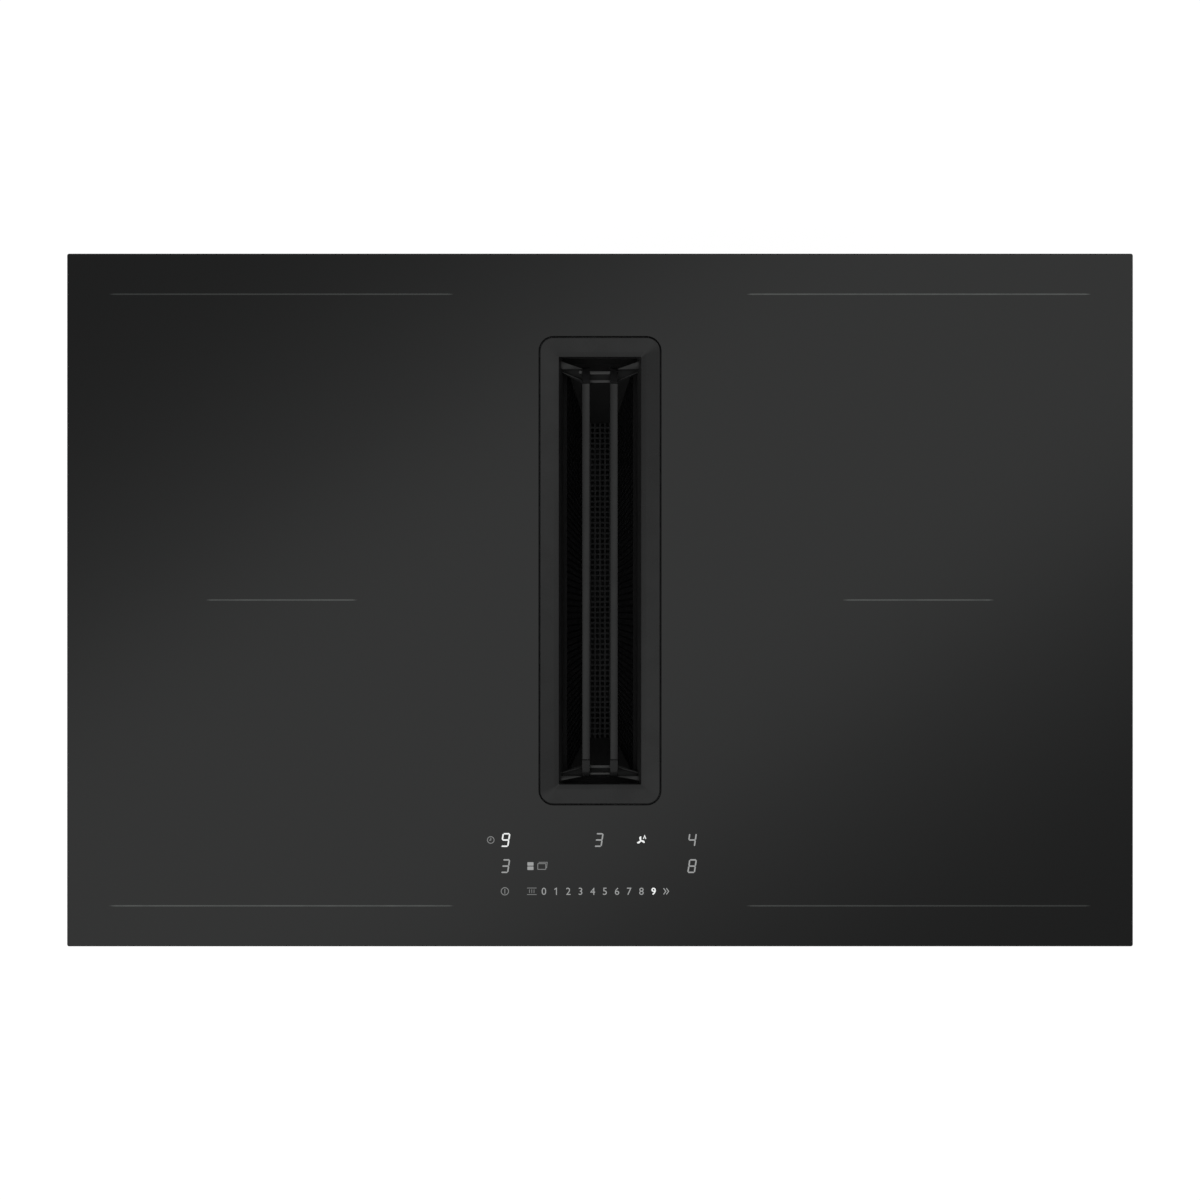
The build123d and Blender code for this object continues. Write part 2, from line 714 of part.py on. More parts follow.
with BuildPart() as cable_gland:
    gland_outer = gland_diameter - 0.6
    gland_plane = Plane.XZ.offset(-casing_depth / 2 - gland_reach)
    with BuildSketch(gland_plane) as gland_end:
        with Locations((gland_x, gland_z)):
            Circle(gland_outer / 2)
            Circle(cable_diameter / 2, mode=Mode.SUBTRACT)
    extrude(gland_end.sketch, amount=gland_length)
    with BuildSketch(gland_plane) as gland_nut:
        with Locations((gland_x, gland_z)):
            RegularPolygon(gland_nut_diameter / 2, 6)
            Circle(cable_diameter / 2, mode=Mode.SUBTRACT)
    extrude(gland_nut.sketch, amount=gland_reach)
save(cable_gland, "cable_gland")

control_at = (control_middle_x, control_middle_y)
control_board_top = glass_bottom - control_drop
with BuildPart() as control_board:
    block(control_width, control_depth, control_board_top - board_thickness, control_board_top, control_at)
save(control_board, "control_board")

with BuildPart() as control_carrier:
    carrier_bottom = control_board_top - board_thickness - 5
    carrier_size = (control_width + 2 * control_rim, control_depth + 2 * control_rim)
    block(*carrier_size, carrier_bottom, control_board_top + 2, control_at)
    block(control_width + 1, control_depth + 1, control_board_top - board_thickness, control_board_top + 2,
          control_at, mode=Mode.SUBTRACT)
    block(control_width - 8, control_depth - 8, carrier_bottom + 2, control_board_top, control_at,
          mode=Mode.SUBTRACT)
    with BuildSketch(Plane.XY.offset(casing_floor)) as legs:
        with Locations(control_at):
            with GridLocations(control_width - 12, control_depth - 12, 2, 2):
                Rectangle(8, 8)
    extrude(legs.sketch, amount=carrier_bottom - casing_floor)
save(control_carrier, "control_carrier")

# Blocks of conductive foam carry each key's signal from the board up to the glass.
with BuildPart() as touch_pads:
    with BuildSketch(Plane.XY.offset(control_board_top)) as pads:
        with Locations((control_middle_x, control_middle_y + touch_row)):
            with GridLocations(touch_pitch, 1, touch_count, 1):
                Rectangle(touch_pad, touch_pad)
    extrude(pads.sketch, amount=glass_bottom - control_board_top)
save(touch_pads, "touch_pads")

with BuildPart() as display_modules:
    with BuildSketch(Plane.XY.offset(control_board_top)) as digits:
        with Locations((control_middle_x, control_middle_y + digit_row)):
            with GridLocations(digit_pitch, 1, digit_count, 1):
                Rectangle(digit_window, digit_window)
    extrude(digits.sketch, amount=glass_bottom - control_board_top)
save(display_modules, "display_modules")

# ================================================================== extractor housing
scroll_at = (scroll_middle_x, scroll_middle_y)
outlet_middle_x = scroll_middle_x + volute_reach - outlet_width / 2 + outlet_wall
outlet_bore = (outlet_width - 2 * outlet_wall, outlet_height - 2 * outlet_wall)
box_at = (box_middle_x, grille_back)
box_inner_back = box_back - box_wall
basin_hole = (tray_basin_width + 2 * tray_gap, tray_basin_length + 2 * tray_gap)
duct_hole = (walled(lower_mouth)[0] + 1, walled(lower_mouth)[1] + 1)


def volute_edges(back: float) -> list:
    """Draw the scroll's inner line: three growing arcs from the tongue, and the widening outlet."""
    x, y = scroll_middle_x, scroll_middle_y
    grown = scroll_growth
    right = x + volute_reach
    left = right - outlet_bore[0]
    with BuildLine() as line:
        first = CenterArc((x, y), scroll_radius, tongue_angle, 180 - tongue_angle)
        CenterArc((x + grown, y), scroll_radius + grown, 180, 90)
        CenterArc((x + grown, y + grown), scroll_radius + 2 * grown, 270, 90)
        Polyline((right, y + grown), (right, back), (left, back), (left, duct_throat_y), first @ 0)
    return line.edges()


with BuildPart() as air_box:
    block(box_width, box_depth, -box_bottom, lid_bottom, box_at, box_corner)
    chamfer(air_box.faces().sort_by(Axis.Z)[0].edges(), length=box_bevel)
    offset(amount=-box_wall, openings=air_box.faces().sort_by(Axis.Z)[-1])
    block(*basin_hole, -box_bottom, -box_bottom + box_wall, grille_at, tray_corner + tray_gap, Mode.SUBTRACT)
    with BuildSketch(Plane.XZ.offset(-box_back)) as outlet_hole:
        with Locations((outlet_middle_x, outlet_middle)):
            Rectangle(*outlet_bore)
    extrude(outlet_hole.sketch, amount=box_wall * 2, mode=Mode.SUBTRACT)
    extrude(outlet_hole.sketch, amount=-box_wall * 2, mode=Mode.SUBTRACT)
save(air_box, "air_box")

with BuildPart() as air_box_lid:
    block(box_width, box_depth, lid_bottom, lid_top, box_at, box_corner)
    collar_size = (duct_hole[0] + 2 * box_wall, duct_hole[1] + 2 * box_wall)
    block(*collar_size, lid_top, lid_top + lid_collar, grille_at)
    block(*duct_hole, lid_bottom, lid_top + lid_collar, grille_at, mode=Mode.SUBTRACT)
    with BuildSketch(Plane.XY.offset(-scroll_bottom)) as volute_wall:
        make_face(volute_edges(box_inner_back - scroll_wall))
        offset(amount=scroll_wall)
        make_face(volute_edges(box_back), mode=Mode.SUBTRACT)
    extrude(volute_wall.sketch, amount=scroll_bottom + lid_bottom)
    for place in mount_places:
        stud(mount_screw, lid_bottom, lid_top, place, mode=Mode.SUBTRACT)
save(air_box_lid, "air_box_lid")

with BuildPart() as scroll_cover:
    with BuildSketch(Plane.XY.offset(scroll_cover_bottom)) as cover_outline:
        make_face(volute_edges(box_inner_back - scroll_wall))
        offset(amount=scroll_wall)
    extrude(cover_outline.sketch, amount=lid_thickness)
    bell_bend = 0.15 * bell_radius
    throat_radius = wheel_inlet / 2 - bell_overlap
    disc(2 * (throat_radius + bell_radius), scroll_cover_bottom, -scroll_bottom, scroll_at, Mode.SUBTRACT)
    # The inlet turns up into the wheel's eye as a bell mouth.
    with BuildSketch(Plane.XZ.offset(-scroll_middle_y)) as bell:
        mouth_x = scroll_middle_x + throat_radius + bell_radius
        with BuildLine():
            bell_top = scroll_cover_bottom + bell_radius
            Polyline(
                (mouth_x, scroll_cover_bottom),
                (mouth_x - 0.7 * bell_radius, scroll_cover_bottom + bell_bend),
                (mouth_x - bell_radius, bell_top), (mouth_x - bell_radius + 2, bell_top),
                (mouth_x - 0.6 * bell_radius, -scroll_bottom), (mouth_x, -scroll_bottom),
                close=True)
        make_face()
    revolve(bell.sketch, axis=Axis((scroll_middle_x, scroll_middle_y, 0), (0, 0, 1)))
save(scroll_cover, "scroll_cover")

with BuildPart() as fan_mounts:
    for place in mount_places:
        stud(mount_diameter, lid_top, casing_bottom, place)
        stud(mount_screw + 2 * screw_gap, lid_top, casing_bottom, place, mode=Mode.SUBTRACT)
save(fan_mounts, "fan_mounts")

with BuildPart() as mount_screws:
    for place in mount_places:
        stud(2 * mount_screw, casing_floor, casing_floor + mount_head, place, sides=6)
        stud(mount_screw, lid_bottom - 2 * mount_head, casing_floor, place)
save(mount_screws, "mount_screws")

# ================================================================== fan motor and wheel
motor_plate = 3
bracket_diameter = 90
motor_slots = 9
motor_slot_width = 4
motor_slot_length = 17
bracket_bottom = lid_bottom - motor_plate
rotor_top = bracket_bottom - 1
rotor_bottom_z = rotor_top - rotor_height
rotor_floor = rotor_bottom_z + rotor_wall
with BuildPart() as motor_bracket:
    disc(bracket_diameter, bracket_bottom, lid_bottom, scroll_at)
    disc(bearing_diameter, rotor_floor + 2, bracket_bottom, scroll_at)
    disc(shaft_diameter + 2 * running_gap, rotor_floor + 2, lid_bottom - 1, scroll_at, Mode.SUBTRACT)
save(motor_bracket, "motor_bracket")

with BuildPart() as motor_stator:
    stator_top = bracket_bottom - 5
    disc(stator_diameter, stator_top - stator_height, stator_top, scroll_at)
    disc(bearing_diameter, stator_top - stator_height, stator_top, scroll_at, Mode.SUBTRACT)
    with BuildSketch(Plane.XY.offset(stator_top - stator_height)) as stator_slots:
        with Locations(scroll_at):
            with PolarLocations(stator_diameter / 2 - motor_slot_length / 2 + 1, motor_slots):
                Rectangle(motor_slot_length, motor_slot_width)
    extrude(stator_slots.sketch, amount=stator_height, mode=Mode.SUBTRACT)
save(motor_stator, "motor_stator")

with BuildPart() as fan_rotor:
    disc(rotor_diameter, rotor_bottom_z, rotor_top, scroll_at)
    disc(rotor_diameter - 2 * rotor_wall, rotor_floor, rotor_top, scroll_at, Mode.SUBTRACT)
    disc(shaft_diameter, rotor_floor, lid_bottom - 2, scroll_at)
save(fan_rotor, "fan_rotor")

wheel_bottom = -wheel_top - wheel_height
blade_lag = 34
blade_inner = wheel_inlet / 2 + 1
blade_outer = wheel_diameter / 2 - 1
blade_middle = (blade_inner + blade_outer) / 2
blade_camber = ((blade_inner, 0), (blade_middle, 0.38 * blade_lag), (blade_outer, blade_lag))
blade_twist = degrees(blade_thickness / blade_inner)


def wheel_point(radius: float, angle: float) -> tuple:
    """Give a point in plan at a radius and an angle about the fan's axis."""
    x = scroll_middle_x + radius * cos(radians(angle))
    y = scroll_middle_y + radius * sin(radians(angle))
    return (x, y)


with BuildPart() as fan_wheel:
    disc(wheel_diameter, -wheel_top - wheel_plate, -wheel_top, scroll_at)
    disc(rotor_diameter + 2 * wheel_plate, rotor_bottom_z - wheel_plate, rotor_top - 6, scroll_at)
    disc(rotor_diameter, rotor_bottom_z, rotor_top, scroll_at, Mode.SUBTRACT)
    disc(wheel_diameter, wheel_bottom, wheel_bottom + wheel_plate, scroll_at)
    disc(wheel_inlet, wheel_bottom, wheel_bottom + wheel_plate, scroll_at, Mode.SUBTRACT)
    with BuildSketch(Plane.XY.offset(wheel_bottom + wheel_plate)) as blades:
        for turn in range(wheel_blades):
            blade_turn = 360 * turn / wheel_blades
            with BuildLine():
                leading = Polyline(*(wheel_point(r, blade_turn - lag) for r, lag in blade_camber))
                rear_turn = blade_turn - blade_twist
                trailing = Polyline(*(wheel_point(r, rear_turn - lag) for r, lag in blade_camber))
                Line(leading @ 0, trailing @ 0)
                Line(leading @ 1, trailing @ 1)
            make_face()
    extrude(blades.sketch, amount=wheel_height - 2 * wheel_plate)
save(fan_wheel, "fan_wheel")

# ================================================================== outlet and backdraught flap
flap_y = box_back + flap_shaft_setback
with BuildPart() as outlet_spigot:
    spigot_plane = Plane.XZ.offset(-box_back)
    with BuildSketch(spigot_plane) as spigot_flange:
        with Locations((outlet_middle_x, outlet_middle)):
            RectangleRounded(outlet_width + 2 * outlet_flange, outlet_height + 2 * outlet_flange,
                             outlet_corner)
    extrude(spigot_flange.sketch, amount=-outlet_wall)
    with BuildSketch(spigot_plane) as spigot_outside:
        with Locations((outlet_middle_x, outlet_middle)):
            Rectangle(outlet_width, outlet_height)
    extrude(spigot_outside.sketch, amount=-outlet_length)
    with BuildSketch(spigot_plane) as spigot_bore:
        with Locations((outlet_middle_x, outlet_middle)):
            Rectangle(*outlet_bore)
    extrude(spigot_bore.sketch, amount=-outlet_length, mode=Mode.SUBTRACT)
    with BuildSketch(Plane.YZ.offset(outlet_middle_x)) as pivot:
        with Locations((flap_y, outlet_middle)):
            Circle(flap_shaft / 2 + running_gap)
    extrude(pivot.sketch, amount=outlet_width / 2, both=True, mode=Mode.SUBTRACT)
save(outlet_spigot, "outlet_spigot")

with BuildPart() as backdraught_flap:
    with BuildSketch(Plane.XZ.offset(-flap_y + flap_thickness / 2)) as flap_plate:
        with Locations((outlet_middle_x, outlet_middle)):
            Rectangle(outlet_bore[0] - 2 * flap_gap, outlet_bore[1] - 2 * flap_gap)
    extrude(flap_plate.sketch, amount=-flap_thickness)
    with BuildSketch(Plane.YZ.offset(outlet_middle_x)) as shaft_end:
        with Locations((flap_y, outlet_middle)):
            Circle(flap_shaft / 2)
    extrude(shaft_end.sketch, amount=outlet_width / 2, both=True)
save(backdraught_flap, "backdraught_flap")

# ================================================================== catch tray
with BuildPart() as catch_tray:
    plate_bottom = -box_bottom - tray_plate
    basin_top = -box_bottom + tray_basin_height
    basin = (tray_basin_width, tray_basin_length)
    block(basin[0] + 2 * tray_rim, basin[1] + 2 * tray_rim, plate_bottom, -box_bottom, grille_at, tray_corner)
    block(*basin, -box_bottom, basin_top, grille_at, tray_corner)
    block(basin[0] - 2 * tray_wall, basin[1] - 2 * tray_wall, plate_bottom + tray_wall, basin_top, grille_at,
          tray_corner - tray_wall, Mode.SUBTRACT)
save(catch_tray, "catch_tray")

# Each clamp is a dog on an upright screw, parked along the casing and swung out under the worktop.
bracket_bottom_z = casing_bottom - clamp_plate
clamp_places = {
    f"{row}_{side}": (sx * (casing_width / 2 + clamp_offset), sy * (casing_depth / 2 - clamp_inset), sy)
    for side, sx in (("left", -1), ("right", 1))
    for row, sy in (("front", -1), ("rear", 1))
}
with BuildPart() as clamp_brackets:
    for screw_x, screw_y, _ in clamp_places.values():
        inward = -1 if screw_x > 0 else 1
        plate_at = (screw_x + inward * (clamp_length / 2 - clamp_screw / 2 - clamp_wall), screw_y)
        block(clamp_length, clamp_width, bracket_bottom_z, casing_bottom, plate_at)
        stud(clamp_screw + 2 * screw_gap, bracket_bottom_z, casing_bottom, (screw_x, screw_y),
             mode=Mode.SUBTRACT)
save(clamp_brackets, "clamp_brackets")

with BuildPart() as clamp_screws:
    for screw_x, screw_y, _ in clamp_places.values():
        stud(clamp_screw, bracket_bottom_z, casing_bottom + clamp_lift, (screw_x, screw_y))
        stud(clamp_head, bracket_bottom_z - clamp_screw, bracket_bottom_z, (screw_x, screw_y), sides=6)
save(clamp_screws, "clamp_screws")

for place_name, (screw_x, screw_y, row) in clamp_places.items():
    with BuildPart() as clamp_dog:
        dog_top = casing_bottom + clamp_lift - clamp_screw
        dog_bottom = dog_top - clamp_dog_height
        dog_width = clamp_screw + 2 * clamp_wall
        block(dog_width, clamp_reach, dog_bottom, dog_top, (screw_x, screw_y - row * clamp_reach / 2))
        stud(dog_width, dog_bottom, dog_top, (screw_x, screw_y), sides=16)
        disc(clamp_screw + 2 * running_gap, dog_bottom, dog_top, (screw_x, screw_y), Mode.SUBTRACT)
    save(clamp_dog, f"clamp_dog_{place_name}")
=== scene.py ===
"""Dresses the downdraft induction cooktop that the frame holds, and lights it for its portrait.

Lengths inside the classes are millimetres in the frame's own axes: Z = 0 is the worktop's surface,
X = Y = 0 the middle of the glass, and +Y the back. A mesh is scaled to metres as it becomes an object.
"""

import json
import logging
from dataclasses import dataclass, replace
from enum import Enum
from functools import cache
from math import cos, pi, radians, sin, tan
from typing import Callable, Iterable, Sequence

import bmesh
import bpy
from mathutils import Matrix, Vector


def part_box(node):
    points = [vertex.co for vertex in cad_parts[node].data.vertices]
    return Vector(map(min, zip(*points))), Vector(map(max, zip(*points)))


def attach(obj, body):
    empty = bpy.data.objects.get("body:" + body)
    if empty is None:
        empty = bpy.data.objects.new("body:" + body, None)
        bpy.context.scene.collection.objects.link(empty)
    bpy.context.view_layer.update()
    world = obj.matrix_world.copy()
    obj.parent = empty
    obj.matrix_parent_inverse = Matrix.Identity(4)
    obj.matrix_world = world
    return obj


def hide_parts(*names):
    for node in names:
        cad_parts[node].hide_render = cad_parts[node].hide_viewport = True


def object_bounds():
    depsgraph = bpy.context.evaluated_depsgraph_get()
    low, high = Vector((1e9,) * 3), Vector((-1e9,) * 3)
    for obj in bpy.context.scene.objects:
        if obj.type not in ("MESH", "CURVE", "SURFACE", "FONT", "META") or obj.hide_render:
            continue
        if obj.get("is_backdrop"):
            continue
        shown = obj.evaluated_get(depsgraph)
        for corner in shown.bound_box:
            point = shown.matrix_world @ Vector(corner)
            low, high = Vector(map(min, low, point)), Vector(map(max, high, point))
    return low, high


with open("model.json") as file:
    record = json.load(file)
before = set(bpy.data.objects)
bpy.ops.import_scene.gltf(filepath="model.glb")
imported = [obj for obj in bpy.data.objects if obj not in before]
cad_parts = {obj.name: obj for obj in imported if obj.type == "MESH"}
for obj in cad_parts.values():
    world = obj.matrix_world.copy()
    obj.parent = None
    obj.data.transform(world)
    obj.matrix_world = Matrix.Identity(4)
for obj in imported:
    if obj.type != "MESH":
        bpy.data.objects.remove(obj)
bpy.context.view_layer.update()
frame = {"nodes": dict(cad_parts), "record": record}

MM = 0.001
Point = tuple[float, float]
Triple = tuple[float, float, float]
Plan = list[Point]
Loop = list[Triple]
log = logging.getLogger("cooktop")


class Body(Enum):
    """The moving bodies that a piece can ride on."""

    HOB = "hob"
    GRILLE = "grille"
    FILTER = "filter"
    TRAY = "tray"


class Effect(Enum):
    """The surface effects that the finishes share."""

    GRAIN = "fine grain"
    SPANGLE = "zinc spangle"
    BRUSHED = "drawn streaks"
    WINDING = "wound wire"
    TRACES = "board traces"


class Glow(Enum):
    """How brightly a mark shines through the glass."""

    DIM = 0.20
    PLAIN = 0.34
    BRIGHT = 1.0


# ---------------------------------------------------------------- shapes
def rounded_outline(width: float, depth: float, radius: float, centre: Point = (0, 0),
                    steps: int = 8) -> Plan:
    """Draw a rectangle with rounded corners, anticlockwise.

    Args:
        width: Size along the first axis.
        depth: Size along the second axis.
        radius: Corner radius.
        centre: Middle of the rectangle.
        steps: Segments in each corner.

    Returns:
        The outline's points.
    """
    points: Plan = []
    for quarter, (sx, sy) in enumerate(((1, 1), (-1, 1), (-1, -1), (1, -1))):
        for step in range(steps + 1):
            turn = radians(90 * (quarter + step / steps))
            points.append((centre[0] + sx * (width / 2 - radius) + radius * cos(turn),
                           centre[1] + sy * (depth / 2 - radius) + radius * sin(turn)))
    return points


def level(outline: Plan, height: float) -> Loop:
    """Lift a plan outline to one height."""
    return [(x, y, height) for x, y in outline]


def rounded_loop(size: Point, radius: float, height: float, centre: Point = (0, 0), steps: int = 8) -> Loop:
    """Draw a rectangle with rounded corners at one height."""
    return level(rounded_outline(*size, radius, centre, steps), height)


def stepped(size: Point, radius: float, steps: Sequence[Point], centre: Point = (0, 0)) -> list[Loop]:
    """Give a rounded rectangle's loops, each grown by an outset and set at a height."""
    return [rounded_loop((size[0] + 2 * outset, size[1] + 2 * outset), radius + outset, height, centre)
            for outset, height in steps]


def rounded_edge(radius: float, foot: float) -> list[Point]:
    """Give the outsets and heights that round an upper edge, from its foot inwards."""
    turns = [radians(30 * step) for step in range(4)]
    return [(-radius * (1 - cos(turn)), foot + radius * sin(turn)) for turn in turns]


def circle(radius: float, steps: int, centre: Point = (0, 0)) -> Plan:
    """Give the points of a circle, anticlockwise."""
    turns = [2 * pi * step / steps for step in range(steps)]
    return [(centre[0] + radius * cos(turn), centre[1] + radius * sin(turn)) for turn in turns]


def box_mm(node: str) -> tuple[Vector, Vector]:
    """Give a CAD node's lowest and highest corners in millimetres."""
    low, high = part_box(node)
    return low / MM, high / MM


def link(name: str, data: bpy.types.ID) -> bpy.types.Object:
    """Make an object of some data and link it to the scene."""
    made = bpy.data.objects.new(name, data)
    bpy.context.scene.collection.objects.link(made)
    return made


class Workpiece:
    """A mesh under construction, in millimetres."""

    def __init__(self) -> None:
        """Start with no faces."""
        self.mesh = bmesh.new()

    def ring(self, loop: Iterable[Sequence[float]]) -> list[bmesh.types.BMVert]:
        """Add the points of a loop."""
        return [self.mesh.verts.new(point) for point in loop]

    def bridge(self, first: list, second: list) -> None:
        """Join two rings of as many points with a band of faces."""
        for i, _ in enumerate(first):
            j = (i + 1) % len(first)
            self.mesh.faces.new((first[i], first[j], second[j], second[i]))

    def loft(self, loops: Sequence[Loop], cyclic: bool = False) -> None:
        """Skin a row of loops, and close it in a ring or with a face at each end.

        Args:
            loops: Loops of as many points each.
            cyclic: Whether the last loop joins the first.
        """
        rings = [self.ring(loop) for loop in loops]
        for first, second in zip(rings, rings[1:]):
            self.bridge(first, second)
        if cyclic:
            self.bridge(rings[-1], rings[0])
        else:
            self.mesh.faces.new(rings[0][::-1])
            self.mesh.faces.new(rings[-1])

    def prism(self, outline: Plan, bottom: float, tops: float | Sequence[float], bevel: float = 0.0) -> None:
        """Raise an outline, level or to a height at each point, and soften its upper edges.

        Args:
            outline: Points in plan.
            bottom: Height of the underside.
            tops: Height of the top, or one height for each point.
            bevel: Width of the softened edge.
        """
        heights = [tops] * len(outline) if isinstance(tops, (int, float)) else tops
        lower = self.ring(level(outline, bottom))
        upper = self.ring([(x, y, z) for (x, y), z in zip(outline, heights)])
        self.bridge(lower, upper)
        self.mesh.faces.new(lower[::-1])
        top = self.mesh.faces.new(upper)
        if bevel:
            bmesh.ops.bevel(self.mesh, geom=list(top.edges), offset=bevel, segments=2, profile=0.5,
                            affect="EDGES")

    def slab(self, low: Sequence[float], high: Sequence[float], bevel: float) -> None:
        """Add a block between two corners with all its edges softened."""
        made = bmesh.ops.create_cube(self.mesh, size=1.0)["verts"]
        for vert in made:
            vert.co = Vector([(low[a] + high[a]) / 2 + vert.co[a] * (high[a] - low[a]) for a in range(3)])
        edges = list({edge for vert in made for edge in vert.link_edges})
        bmesh.ops.bevel(self.mesh, geom=edges, offset=bevel, segments=2, profile=0.5, affect="EDGES")

    def turned(self, profile: Plan, at: Sequence[float], axis: Sequence[float] = (0, 0, 1),
               steps: int = 24) -> None:
        """Turn a profile of radius and height about an axis.

        Args:
            profile: Radius and height of each point, closed between its ends on the axis.
            at: Where height 0 lies.
            axis: Direction of growing height.
            steps: Segments round the axis.
        """
        turn = Vector((0, 0, 1)).rotation_difference(Vector(axis))
        self.loft([[tuple(turn @ Vector((x, y, height)) + Vector(at)) for x, y in circle(radius, steps)]
                   for radius, height in profile])

    def pan_head(self, at: Sequence[float], axis: Sequence[float], radius: float) -> None:
        """Add a domed screw head with a driver recess."""
        r = radius
        self.turned([(r, 0), (r, 0.25 * r), (0.9 * r, 0.5 * r), (0.66 * r, 0.68 * r), (0.42 * r, 0.74 * r),
                     (0.40 * r, 0.30 * r)], at, axis, 18)

    def skin(self, grid: list[Loop], thickness: Sequence[float]) -> None:
        """Add a curved sheet of some thickness from rows of points.

        Args:
            grid: Rows of as many points each.
            thickness: The step from one face of the sheet to the other.
        """
        step = Vector(thickness)
        front = [self.ring(row) for row in grid]
        back = [self.ring([tuple(Vector(point) + step) for point in row]) for row in grid]
        for sheet in (front, back):
            for row, following in zip(sheet, sheet[1:]):
                for i in range(len(row) - 1):
                    self.mesh.faces.new((row[i], row[i + 1], following[i + 1], following[i]))
        edge = self.border(front)
        self.bridge(edge, self.border(back))

    @staticmethod
    def border(sheet: list[list]) -> list:
        """Walk round the outer points of a grid."""
        return (sheet[0] + [row[-1] for row in sheet[1:]] + sheet[-1][-2::-1]
                + [row[0] for row in sheet[-2:0:-1]])

    def perforated(self, corners: Sequence[Sequence[float]], columns: int, rows: int, wire: float,
                   thickness: float) -> None:
        """Add a flat sheet with a grid of four-cornered holes through it.

        Args:
            corners: The sheet's four corners in order.
            columns: Holes along the first side.
            rows: Holes along the second side.
            wire: Width of metal between holes.
            thickness: Thickness of the sheet.
        """
        a, b, c, d = (Vector(corner) for corner in corners)
        lift = (b - a).cross(d - a).normalized() * thickness / 2
        du = wire / 2 / ((b - a).length + (c - d).length) * 2 * columns
        dv = wire / 2 / ((d - a).length + (c - b).length) * 2 * rows
        sheets = []
        for side in (-1, 1):
            def spot(u: float, v: float) -> bmesh.types.BMVert:
                """Add a point of this face of the sheet."""
                across = u / columns
                return self.mesh.verts.new(a.lerp(b, across).lerp(d.lerp(c, across), v / rows) + side * lift)
            knots = [[spot(i, j) for i in range(columns + 1)] for j in range(rows + 1)]
            holes = [[[spot(i + du, j + dv), spot(i + 1 - du, j + dv), spot(i + 1 - du, j + 1 - dv),
                       spot(i + du, j + 1 - dv)] for i in range(columns)] for j in range(rows)]
            for j, (near, far) in enumerate(zip(knots, knots[1:])):
                for i in range(columns):
                    self.bridge([near[i], near[i + 1], far[i + 1], far[i]], holes[j][i])
            sheets.append((knots, holes))
        (low_knots, low_holes), (high_knots, high_holes) = sheets
        for low_row, high_row in zip(low_holes, high_holes):
            for low_hole, high_hole in zip(low_row, high_row):
                self.bridge(low_hole, high_hole)
        self.bridge(self.border(low_knots), self.border(high_knots))

    def ribbon(self, points: Plan, width: float, bottom: float, top: float, closed: bool = False) -> None:
        """Draw a flat stroke along points, mitred at its corners.

        Args:
            points: The stroke's middle line.
            width: Width of the stroke.
            bottom: Height of its underside.
            top: Height of its top.
            closed: Whether its end joins its start.
        """
        count = len(points)
        sides: tuple[Plan, Plan] = ([], [])
        for i, (x, y) in enumerate(points):
            before = points[i - 1] if i or closed else None
            after = points[(i + 1) % count] if i < count - 1 or closed else None
            ways = [Vector((x - before[0], y - before[1])).normalized()] if before else []
            ways += [Vector((after[0] - x, after[1] - y)).normalized()] if after else []
            way = sum(ways, Vector((0, 0))).normalized()
            reach = width / 2 / max(0.5, way.dot(ways[0]))
            for side, row in zip((1, -1), sides):
                row.append((x - side * way.y * reach, y + side * way.x * reach))
        if closed:
            rounds = ((0, bottom), (0, top), (1, top), (1, bottom))
            self.loft([level(sides[side], height) for side, height in rounds], cyclic=True)
        else:
            self.prism(sides[1] + sides[0][::-1], bottom, top)

    def dress(self, name: str, finish: "Finish | LitMark", body: Body = Body.HOB,
              stands_for: Sequence[str] = (), crease: float = 35.0) -> None:
        """Scale the mesh to metres, and make a piece of it with its finish and its body.

        Args:
            name: Name of the piece.
            finish: What covers it.
            body: The body it moves with.
            stands_for: CAD nodes that it replaces.
            crease: Angle in degrees above which an edge stays sharp.
        """
        bmesh.ops.remove_doubles(self.mesh, verts=self.mesh.verts, dist=0.0004)
        bmesh.ops.dissolve_degenerate(self.mesh, edges=self.mesh.edges, dist=0.0001)
        bmesh.ops.recalc_face_normals(self.mesh, faces=self.mesh.faces)
        bmesh.ops.scale(self.mesh, vec=(MM, MM, MM), verts=self.mesh.verts)
        data = bpy.data.meshes.new(name)
        self.mesh.to_mesh(data)
        self.mesh.free()
        data.shade_smooth()
        data.set_sharp_from_angle(angle=radians(crease))
        data.materials.append(finish.make())
        piece = link(name, data)
        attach(piece, body.value)
        if stands_for:
            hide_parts(*stands_for)
        log.info("%s: %d faces on %s", name, len(data.polygons), body.value)


